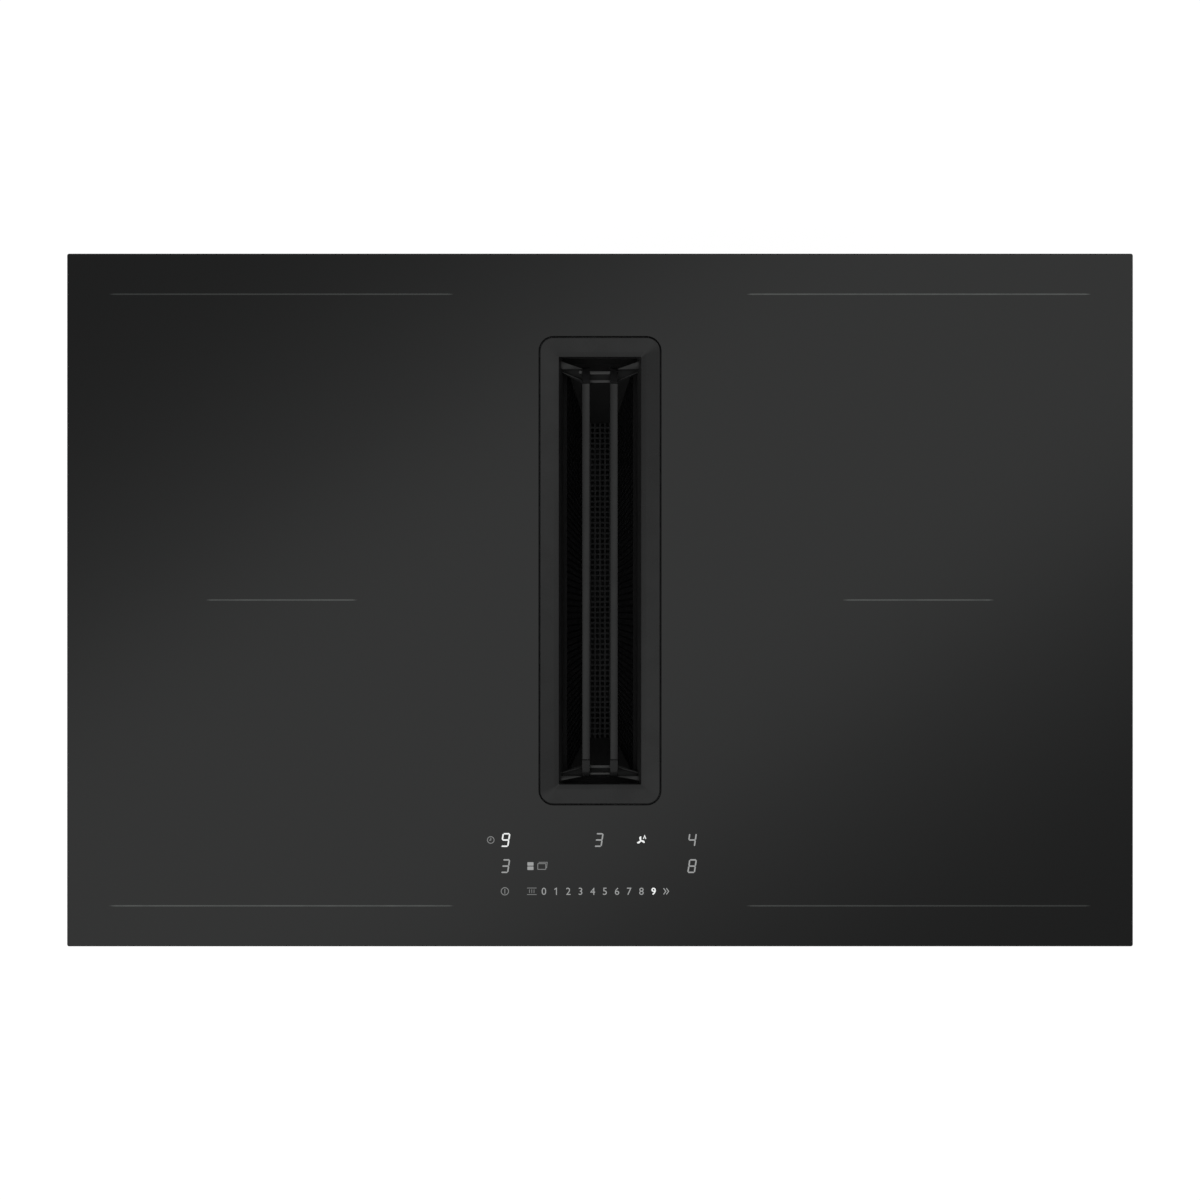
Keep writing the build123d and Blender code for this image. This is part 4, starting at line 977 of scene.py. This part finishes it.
    def brace(self, end: int) -> tuple[Workpiece, Workpiece, Workpiece]:
        """Build a brace behind the bars' feet: a channel, two lips and the wings that sweep to the corners.

        Args:
            end: 1 for the back, -1 for the front.

        Returns:
            The channel, the wings and the lips.
        """
        spans = self.back_lips if end > 0 else self.front_lips
        sweep = self.back_wings if end > 0 else self.front_wings
        wall = self.opening[0] / 2 - 1.0
        turn = self.bar_apart / 2 + self.bar_width / 2
        top = self.brace_top
        channel, wings, lips = Workpiece(), Workpiece(), Workpiece()

        def place(points: Plan) -> Plan:
            """Move points of this end to where the grille lies."""
            return [(x, self.back + end * y) for x, y in points]

        half = [(turn, spans[0] + 0.1), (wall, sweep[1]), (wall, sweep[3] - 0.2), (turn, sweep[2] + 0.5),
                (turn - 0.5, spans[3] - 0.1)]
        channel.prism(place([(-x, y) for x, y in half] + half[::-1]), self.foot, self.foot + 2.0, 0.3)
        for low, high in (spans[:2], spans[2:]):
            lip = [(-turn, low), (turn, low), (turn, high), (-turn, high)]
            lips.prism(place(lip), self.foot + 1.0, top, 0.25)
        for side in (-1, 1):
            line = [(side * turn, sweep[0]), (side * wall, sweep[1]),
                    (side * wall, sweep[1] + self.wing_edge), (side * turn, sweep[0] + self.wing_edge)]
            wings.prism(place(line), self.foot + 1.0, [top - 0.6, top, top, top - 0.6], 0.2)
            wing = [(side * turn, sweep[2]), (side * wall, sweep[2]), (side * wall, sweep[3]),
                    (side * turn, sweep[2] + 0.6)]
            wings.prism(place(wing), self.foot + 1.0, [top, top + 0.5, top + 0.9, top], 0.25)
        if end > 0:
            x, y, radius = self.stud
            lips.turned([(radius, self.foot + 1.5), (radius, top + 0.1), (0.85 * radius, top + 0.3)],
                        (x, self.back + y, 0))
        return channel, wings, lips

    def build(self) -> None:
        """Build the frame, its throat, the bars and the braces."""
        frame_work, throat, bar_ends = Workpiece(), Workpiece(), self.bar_ends()
        frame_work.loft(self.frame_loops(), cyclic=True)
        frame_work.dress("grille_frame", CASTING, Body.GRILLE, ["cover_grille"])
        throat.loft(self.throat_loops(), cyclic=True)
        # The throat's lighter enamel is painted light on its shaded walls.
        throat.dress("grille_throat", THROAT_ENAMEL, Body.GRILLE)
        for name, side in (("left", -1), ("right", 1)):
            self.bar(side * self.bar_apart / 2).dress(f"grille_bar_{name}", CASTING, Body.GRILLE)
        # The bar ends carry painted light: a lighter copy of the frame's enamel.
        bar_ends.dress("grille_bar_ends", PAINTED_LIGHT_CASTING, Body.GRILLE)
        for name, end in (("front", -1), ("back", 1)):
            channel, wings, lips = self.brace(end)
            channel.dress(f"grille_channel_{name}", MATT_CASTING, Body.GRILLE)
            wings.dress(f"grille_wings_{name}", CASTING, Body.GRILLE)
            # The lips carry a painted highlight: a lighter copy of the frame's enamel.
            lips.dress(f"grille_lips_{name}", PAINTED_HIGHLIGHT_ENAMEL, Body.GRILLE)


@dataclass
class GreaseFilter:
    """The trough of square mesh that hangs under the grille, with its folded borders."""

    top: float = -22.0
    bottom: float = -84.0
    top_half_width: float = 26.0
    floor_half_width: float = 11.6
    top_front: float = -136.0
    top_back: float = 180.0
    floor_front: float = -108.0
    floor_back: float = 138.0
    sheet: float = 0.7
    floor_holes: tuple[int, int] = (6, 60)
    floor_wire: float = 1.3
    side_holes: tuple[int, int] = (60, 13)
    side_wire: float = 1.2
    dish: float = 1.2
    top_roll: float = 0.7
    foot_roll: float = 0.6

    def corner(self, side: int, end: int, low: bool) -> Triple:
        """Give a corner of the trough, by side, end and level."""
        half = self.floor_half_width if low else self.top_half_width
        front, back = (self.floor_front, self.floor_back) if low else (self.top_front, self.top_back)
        return (side * half, back if end > 0 else front, self.bottom if low else self.top)

    def fold(self, work: Workpiece, points: Loop, radius: float) -> None:
        """Run a rolled edge along points, closed in a ring."""
        loops = []
        count = len(points)
        for i, point in enumerate(points):
            way = (Vector(points[(i + 1) % count]) - Vector(points[i - 1])).normalized()
            side = way.cross(Vector((0, 0, 1))).normalized()
            up = side.cross(way)
            loops.append([tuple(Vector(point) + radius * (cos(pi * k / 4) * side + sin(pi * k / 4) * up))
                          for k in range(8)])
        work.loft(loops, cyclic=True)

    def build(self) -> None:
        """Build the filter."""
        floor = Workpiece()
        corners = [self.corner(side, end, True) for side, end in ((-1, -1), (1, -1), (1, 1), (-1, 1))]
        floor.perforated(corners, *self.floor_holes, self.floor_wire, self.sheet)
        floor.dress("filter_mesh_floor", MESH_STEEL, Body.FILTER, ["filter_basket"])
        for name, side in (("left", -1), ("right", 1)):
            wall = Workpiece()
            turns = ((-1, False), (1, False), (1, True), (-1, True))
            corners = [self.corner(side, end, low) for end, low in turns]
            wall.perforated(corners, *self.side_holes, self.side_wire, self.sheet)
            wall.dress(f"filter_mesh_{name}", MESH_STEEL, Body.FILTER)
        for name, end in (("front", -1), ("back", 1)):
            plate = Workpiece()
            rows = []
            for step in range(7):
                fall = step / 6
                left = Vector(self.corner(-1, end, False)).lerp(Vector(self.corner(-1, end, True)), fall)
                right = Vector(self.corner(1, end, False)).lerp(Vector(self.corner(1, end, True)), fall)
                dished = -end * self.dish * sin(pi * fall)
                rows.append([tuple(left.lerp(right, t / 4) + Vector((0, dished, 0))) for t in range(5)])
            plate.skin(rows, (0, -end * self.sheet, 0))
            plate.dress(f"filter_end_{name}", PLAIN_STEEL, Body.FILTER)
        edges = Workpiece()
        for low, radius in ((False, self.top_roll), (True, self.foot_roll)):
            ring = [self.corner(sx, sy, low) for sx, sy in ((1, 1), (-1, 1), (-1, -1), (1, -1))]
            mids = []
            for first, second in zip(ring, ring[1:] + ring[:1]):
                mids += [tuple(Vector(first).lerp(Vector(second), t)) for t in (0.02, 0.98)]
            self.fold(edges, mids, radius)
        # The rolled edges carry painted shade: a darker copy of the sheet.
        edges.dress("filter_rolled_edges", SHADED_FOLDED_STEEL, Body.FILTER)


# ---------------------------------------------------------------- under the worktop
@dataclass
class Casing:
    """The sheet casing's screws, louvre hoods and pressed beads."""

    screw: float = 3.4
    screw_drop: float = -6.0
    screw_pitch: Point = (160.0, 130.0)
    hood_width: float = 16.0
    hood_height: float = 9.0
    hood_proud: float = 3.0
    hood_lift: float = 16.0
    hood_pitch: float = 20.0
    hoods_in_bank: int = 8
    bank_middle: float = 250.0
    bead_width: float = 14.0
    bead_proud: float = 1.8
    bead_spots: tuple[Triple, ...] = ((-330, -60, 200), (-270, 0, 380), (-210, 0, 380), (-150, 0, 380),
                                      (341, -60, 200))

    def screws(self) -> None:
        """Build the screws that hold the casing in the glass's frame."""
        low, high = box_mm("glass_frame")
        work = Workpiece()
        across, along = self.screw_pitch
        for x in (across * step for step in range(-2, 3)):
            for y, way in ((low.y, -1), (high.y, 1)):
                work.pan_head((x, y, self.screw_drop), (0, way, 0), self.screw)
        for y in (along * step for step in range(-1, 2)):
            for x, way in ((low.x, -1), (high.x, 1)):
                work.pan_head((x, y, self.screw_drop), (way, 0, 0), self.screw)
        work.dress("casing_screws", STEEL)

    def hoods(self) -> None:
        """Build the pressed hoods over the air slots in the front wall."""
        low, _ = box_mm("casing_sides")
        work = Workpiece()
        middle_z = low.z + self.hood_lift
        bank = [self.hood_pitch * (i - (self.hoods_in_bank - 1) / 2) for i in range(self.hoods_in_bank)]
        for x in (side * self.bank_middle + place for side in (-1, 1) for place in bank):
            grid = []
            for row in range(6):
                drop = row / 5
                bulge = sin(pi / 2 * drop) ** 0.7
                line = []
                for step in range(9):
                    across = -1 + step / 4
                    proud = self.hood_proud * bulge * (1 - across ** 4)
                    line.append((x + across * self.hood_width / 2, low.y - proud - 0.1,
                                 middle_z + self.hood_height * (0.5 - drop)))
                grid.append(line)
            work.skin(grid, (0, 0.6, 0))
        work.dress("louvre_hoods", ZINC, crease=50)

    def beads(self) -> None:
        """Build the stiffening beads pressed into the floor."""
        low, _ = box_mm("casing_base")
        work = Workpiece()
        width = self.bead_width
        turns = [radians(22.5 * step) for step in range(5)]
        steps = [((0.6 - width / 2) * (1 - cos(turn)), low.z + 0.2 - self.bead_proud * sin(turn))
                 for turn in turns]
        for x, y, length in self.bead_spots:
            work.loft(stepped((width, length), width / 2 - 0.01, steps, (x, y)))
        work.dress("casing_floor_beads", ZINC)

    def build(self) -> None:
        """Build the casing's details."""
        self.screws()
        self.hoods()
        self.beads()


@dataclass
class AirBox:
    """The extractor housing's joint rim, the ribs on its walls and floor, and its clips."""

    corner: float = 9.0
    rim_proud: float = 3.0
    rib_width: float = 2.4
    rib_proud: float = 2.6
    rib_pitch: float = 38.0
    rib_foot: float = 12.0
    rib_head: float = 8.0
    corner_run: float = 28.0
    back_run: float = 110.0
    clip_width: float = 22.0
    clip_xs: Triple = (-40.0, 100.0, 240.0)
    clip_ys: Triple = (-80.0, 22.0, 124.0)
    fan_centre: Point = (165.0, 12.0)
    floor_rings: Triple = (26.0, 56.0, 84.0)
    floor_rib_proud: float = 1.8
    floor_spokes: int = 12
    clip_near: float = 2.6

    def rim(self) -> None:
        """Build the rim that covers the joint between box and lid."""
        low, high = box_mm("air_box_lid")
        _, box_high = box_mm("air_box")
        centre = ((low.x + high.x) / 2, (low.y + high.y) / 2)
        width, depth = high.x - low.x, high.y - low.y
        proud, soft = self.rim_proud, self.rim_proud - 0.8
        work = Workpiece()
        steps = [(outset, box_high.z + height) for outset, height in (
            (-0.5, -5.5), (soft, -5.5), (proud, -4.7), (proud, 1.7), (soft, 2.5), (-0.5, 2.5))]
        work.loft(stepped((width, depth), self.corner, steps, centre), cyclic=True)
        work.dress("air_box_rim", DUCT_PLASTIC)

    def walls(self) -> list[tuple[Point, Point, float]]:
        """Give each wall that has ribs: where it starts, which way it runs and how far."""
        low, high = box_mm("air_box")
        run = self.corner_run
        return [((low.x + run, low.y), (1, 0), high.x - low.x - 2 * run),
                ((high.x, low.y + run), (0, 1), high.y - low.y - 2 * run),
                ((low.x + run, high.y), (1, 0), self.back_run),
                ((low.x, low.y + run), (0, 1), high.y - low.y - 2 * run)]

    def ribs(self) -> None:
        """Build the upright ribs round the walls."""
        low, high = box_mm("air_box")
        work = Workpiece()
        half = self.rib_width / 2
        for start, way, length in self.walls():
            axis = 1 if way[0] else 0
            out = -1 if start[axis] < 0 else 1
            count = int(length / self.rib_pitch)
            for step in range(count + 1):
                middle = [start[i] + way[i] * length * step / count for i in range(2)]
                low_corner = [middle[0] - half, middle[1] - half, low.z + self.rib_foot]
                high_corner = [middle[0] + half, middle[1] + half, high.z - self.rib_head]
                face = middle[axis]
                low_corner[axis], high_corner[axis] = sorted((face - out * 0.6, face + out * self.rib_proud))
                work.slab(low_corner, high_corner, 0.7)
        work.dress("air_box_ribs", DUCT_PLASTIC)

    def floor_ribs(self) -> None:
        """Build the rings and spokes that stiffen the floor under the fan."""
        low, _ = box_mm("air_box")
        work = Workpiece()
        x, y = self.fan_centre
        half, foot, top = self.rib_width / 2, low.z + 0.5, low.z - self.floor_rib_proud
        for radius in self.floor_rings:
            section = [(-half, foot), (-half, top + 0.5), (0.5 - half, top)]
            section += [(-reach, height) for reach, height in section[::-1]]
            work.loft([level(circle(radius + reach, 64, (x, y)), height) for reach, height in section],
                      cyclic=True)
        for spoke in range(self.floor_spokes):
            turn = 2 * pi * (spoke + 0.5) / self.floor_spokes
            way, side = Vector((cos(turn), sin(turn))), Vector((-sin(turn), cos(turn)))
            near, far = (way * self.floor_rings[ring] for ring in (0, -1))
            outline = [near - side * half, far - side * half, far + side * half, near + side * half]
            work.prism([(x + point.x, y + point.y) for point in outline], foot, top + 0.15, 0.4)
        work.dress("air_box_floor_ribs", DUCT_PLASTIC)

    def clips(self) -> None:
        """Build the snap clips that hold the lid down."""
        low, high = box_mm("air_box")
        work = Workpiece()
        seam = high.z
        half = self.clip_width / 2
        places = [(x, low.y, -1, 0) for x in self.clip_xs]
        places += [(x, y, out, 1) for x, out in ((low.x, -1), (high.x, 1)) for y in self.clip_ys]
        places.append((self.clip_xs[0], high.y, 1, 0))
        for x, y, out, across in places:
            for bottom, top, proud, wide in ((-15, 1.5, 3.8, half), (-14, -10, 5.6, half - 3),
                                             (-4, 3.2, 5.2, half - 2)):
                place = x if across else y
                start, end = sorted(place + out * (self.clip_near + reach) for reach in (-1.5, proud))
                if across:
                    work.slab((start, y - wide, seam + bottom), (end, y + wide, seam + top), 0.6)
                else:
                    work.slab((x - wide, start, seam + bottom), (x + wide, end, seam + top), 0.6)
        work.dress("air_box_clips", BLACK_PLASTIC)

    def build(self) -> None:
        """Build the housing's details."""
        self.rim()
        self.ribs()
        self.floor_ribs()
        self.clips()


@dataclass
class Outlet:
    """The duct spigot's retaining beads and the screws of its flange."""

    bead: float = 1.2
    bead_back: Point = (7.0, 22.0)
    duct: Point = (222.0, 89.0)
    screw: float = 3.2
    screw_inset: float = 6.0

    def beads(self) -> None:
        """Build two low beads that grip the duct."""
        low, high = box_mm("backdraught_flap")
        _, end = box_mm("outlet_spigot")
        middle = ((low.x + high.x) / 2, (low.z + high.z) / 2)
        work = Workpiece()
        width, height = self.duct
        shoulder = self.bead * 0.8
        section = [(-0.4, -1.4), (shoulder, -0.7), (self.bead, 0.0), (shoulder, 0.7), (-0.4, 1.4)]
        for back in self.bead_back:
            loops = []
            for outset, step in section:
                outline = rounded_outline(width + 2 * outset, height + 2 * outset, 1.2, middle, 3)
                loops.append([(x, end.y - back + step, z) for x, z in outline])
            work.loft(loops, cyclic=True)
        work.dress("outlet_beads", DUCT_PLASTIC)

    def screws(self) -> None:
        """Build the flange's screws."""
        low, high = box_mm("outlet_spigot")
        work = Workpiece()
        face = low.y + 2.5
        inset = self.screw_inset
        for x in (low.x + inset, (low.x + high.x) / 2, high.x - inset):
            for z in (low.z + inset, high.z - inset):
                work.pan_head((x, face, z), (0, 1, 0), self.screw)
        work.dress("outlet_screws", STEEL)

    def build(self) -> None:
        """Build the outlet's details."""
        self.beads()
        self.screws()


@dataclass
class CableGland:
    """The gland that the mains cable passes through: a threaded body with a rounded nose, and a hexagon."""

    x: float = -288.0
    z: float = -35.0
    inner_y: float = 226.0
    wall_y: float = 240.0
    outer_y: float = 246.0

    def build(self) -> None:
        """Build the gland."""
        profile: Plan = [(6.2, 0.0), (9.2, 0.0)]
        for thread in range(8):
            profile += [(9.2, 0.9 + 1.6 * thread), (9.65, 1.3 + 1.6 * thread), (9.2, 1.7 + 1.6 * thread)]
        body = self.wall_y - self.inner_y
        nose = self.outer_y - self.inner_y
        profile += [(9.6, body), (11.6, body + 2.4), (11.4, nose - 1.2), (9.2, nose - 0.2), (7.4, nose),
                    (6.2, nose - 0.6)]
        nut = [(13.0, body), (13.9, body + 0.4), (13.9, body + 2.6), (12.6, body + 3.2), (9.4, body + 3.2),
               (9.4, body)]
        work = Workpiece()
        for outline, steps in ((profile, 32), (nut, 6)):
            work.loft([[(x, self.inner_y + height, z) for x, z in circle(radius, steps, (self.x, self.z))]
                       for radius, height in outline], cyclic=True)
        work.dress("cable_gland_turned", BLACK_PLASTIC, stands_for=["cable_gland"])


@dataclass
class CatchTray:
    """The rail and the ribs under the catch tray."""

    rib_drop: float = 1.2
    rib_pitch: float = 40.0
    rib_inset: float = 14.0

    def build(self) -> None:
        """Build the tray's underside."""
        low, high = box_mm("catch_tray")
        work = Workpiece()
        bottom = low.z - self.rib_drop
        centre = (0.0, (low.y + high.y) / 2)
        width, length = high.x - low.x, high.y - low.y
        loops = []
        for inset, height in ((3.0, low.z + 0.3), (3.2, bottom + 0.3), (3.6, bottom), (5.4, bottom),
                              (5.8, bottom + 0.3), (6.0, low.z + 0.3)):
            size = (width - 2 * inset, length - 2 * inset)
            loops.append(rounded_loop(size, 8 - inset / 2, height, centre))
        work.loft(loops, cyclic=True)
        for step in range(-3, 4):
            y = centre[1] + self.rib_pitch * step
            start, end = low.x + self.rib_inset, high.x - self.rib_inset
            work.slab((start, y - 1.2, bottom), (end, y + 1.2, low.z + 0.5), 0.4)
        work.dress("tray_ribs", TRAY_PLASTIC, Body.TRAY)


def dress_nodes() -> None:
    """Cover every CAD node with a finish of its own or with that of its material slot."""
    slots = {part["node"]: part["material_slot"] for part in frame["record"]["subparts"]}
    for name, node in frame["nodes"].items():
        node.data.materials.clear()
        finish = NODE_FINISHES.get(name, SLOT_FINISHES[slots[name]])
        node.data.materials.append(finish.make())
        log.info("%s: %s", name, finish.name)


# ---------------------------------------------------------------- studio
@dataclass
class Studio:
    """The pale floor, the soft light, the panel that the glass mirrors, and the camera."""

    camera_height: float = 2.5
    field: float = 0.90056
    sensor: float = 36.0
    glass_top: float = 0.006
    panel_height: float = 3.2
    panel_half: float = 16.0
    panel_light: float = 0.80
    band_angle: float = 34.0
    world_light: float = 0.75
    lamp_power: float = 34.0
    lamp_size: float = 2.2
    lamp_at: Triple = (-1.4, -1.2, 2.8)
    floor_half: float = 12.0

    def sheet(self, name: str, half: float, height: float) -> bpy.types.Object:
        """Lay a level sheet of the studio."""
        data = bpy.data.meshes.new(name)
        corners = [(half * sx, half * sy, height) for sx, sy in ((-1, -1), (1, -1), (1, 1), (-1, 1))]
        data.from_pydata(corners, [], [(0, 1, 2, 3)])
        piece = link(name, data)
        piece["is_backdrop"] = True
        return piece

    def seen_plainly(self, bench: NodeBench) -> bpy.types.NodeSocket:
        """Give 1 for rays from the camera, a mirror or clear glass."""
        path = bench.add("LightPath")
        both = bench.maths("MAXIMUM", path.outputs["Is Camera Ray"], path.outputs["Is Glossy Ray"])
        return bench.maths("MAXIMUM", both, path.outputs["Is Transmission Ray"])

    def floor(self) -> None:
        """Lay a white floor that keeps a faint shadow and is clear from beneath."""
        low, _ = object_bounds()
        floor = self.sheet("floor", self.floor_half, low[2])
        material, bench = new_material("white_floor", bare=True)
        paper = bench.add("BsdfDiffuse", {"Color": (0.86, 0.86, 0.86, 1)})
        white = bench.add("Emission", {"Color": (1, 1, 1, 1), "Strength": 1.0})
        seen = bench.maths("MULTIPLY", self.seen_plainly(bench), 0.88)
        mixed = bench.add("MixShader", {0: seen, 1: paper.outputs[0], 2: white.outputs[0]})
        boost = bench.maths("MULTIPLY", seen, 0.08)
        lifted = bench.add("Emission", {"Color": (1, 1, 1, 1), "Strength": boost})
        total = bench.add("AddShader", {0: mixed.outputs[0], 1: lifted.outputs[0]})
        beneath = bench.add("NewGeometry").outputs["Backfacing"]
        clear = bench.add("BsdfTransparent")
        sided = bench.add("MixShader", {0: beneath, 1: total.outputs[0], 2: clear.outputs[0]})
        bench.add("OutputMaterial", {"Surface": sided.outputs[0]})
        floor.data.materials.append(material)

    def mirror_panel(self) -> None:
        """Hang the softly graded panel overhead, which only shows in reflections."""
        panel = self.sheet("overhead_panel", self.panel_half, self.panel_height)
        for ray in ("camera", "diffuse", "transmission", "volume_scatter", "shadow"):
            setattr(panel, f"visible_{ray}", False)
        material, bench = new_material("graded_panel", bare=True)
        where = bench.add("TexCoord")
        turn = radians(self.band_angle)
        across = bench.add("VectorMath", {0: where.outputs["Object"], 1: (-sin(turn), cos(turn), 0.0)},
                           operation="DOT_PRODUCT")
        reach = 0.43 * (1 + (self.panel_height - self.glass_top) / self.camera_height)
        distance = bench.maths("DIVIDE", bench.maths("ABSOLUTE", across.outputs["Value"]), reach)
        ramp = bench.add("ValToRGB", {0: distance})
        ramp.color_ramp.interpolation = "B_SPLINE"
        stops = ((0.0, 1.0), (0.2, 1.0), (0.34, 0.92), (0.48, 0.72), (0.66, 0.50), (0.82, 0.38), (1.0, 0.33))
        while len(ramp.color_ramp.elements) < len(stops):
            ramp.color_ramp.elements.new(0.5)
        for element, (position, value) in zip(ramp.color_ramp.elements, stops):
            element.position = position
            element.color = (value, value, value, 1)
        tone = bench.maths("MULTIPLY", ramp.outputs[0], self.panel_light)
        glow = bench.add("Emission", {"Color": (0.985, 1.0, 0.99, 1), "Strength": tone})
        bench.add("OutputMaterial", {"Surface": glow.outputs[0]})
        panel.data.materials.append(material)

    def light(self) -> None:
        """Set the even surroundings and one broad lamp."""
        world = bpy.data.worlds.new("studio")
        bpy.context.scene.world = world
        world.use_nodes = True
        bench = NodeBench(world.node_tree)
        world.node_tree.nodes.clear()
        plainly = self.seen_plainly(bench)
        strength = bench.add("Mix", {0: plainly, 2: self.world_light, 3: 1.0}, data_type="FLOAT")
        sky = bench.add("Background", {"Color": (1, 1, 1, 1), "Strength": strength.outputs[0]})
        bench.add("OutputWorld", {"Surface": sky.outputs[0]})
        lamp = bpy.data.lights.new("softbox", "AREA")
        lamp.size = self.lamp_size
        lamp.energy = self.lamp_power
        holder = link("softbox", lamp)
        holder.location = self.lamp_at
        holder.rotation_euler = (-Vector(self.lamp_at)).to_track_quat("-Z", "Y").to_euler()
        holder.visible_glossy = False

    def camera(self) -> None:
        """Look straight down on the glass from where the photograph was taken."""
        data = bpy.data.cameras.new("camera")
        data.sensor_width = self.sensor
        data.lens = self.sensor * self.camera_height / self.field
        data.clip_end = 60.0
        camera = link("camera", data)
        camera.location = (0, 0, self.glass_top + self.camera_height)
        bpy.context.scene.camera = camera

    def build(self) -> None:
        """Set up the studio."""
        bpy.context.scene.view_settings.view_transform = "Standard"
        self.floor()
        self.mirror_panel()
        self.light()
        self.camera()


def main() -> None:
    """Build every sub-assembly in order, then the studio."""
    logging.basicConfig(level=logging.INFO, format="%(message)s")
    dress_nodes()
    for assembly in (GlassTop(), ControlField(), CoverGrille(), GreaseFilter(), Casing(), AirBox(), Outlet(),
                     CableGland(), CatchTray()):
        log.info("-- %s", type(assembly).__name__)
        assembly.build()
    Studio().build()


if __name__ == "__main__":
    main()
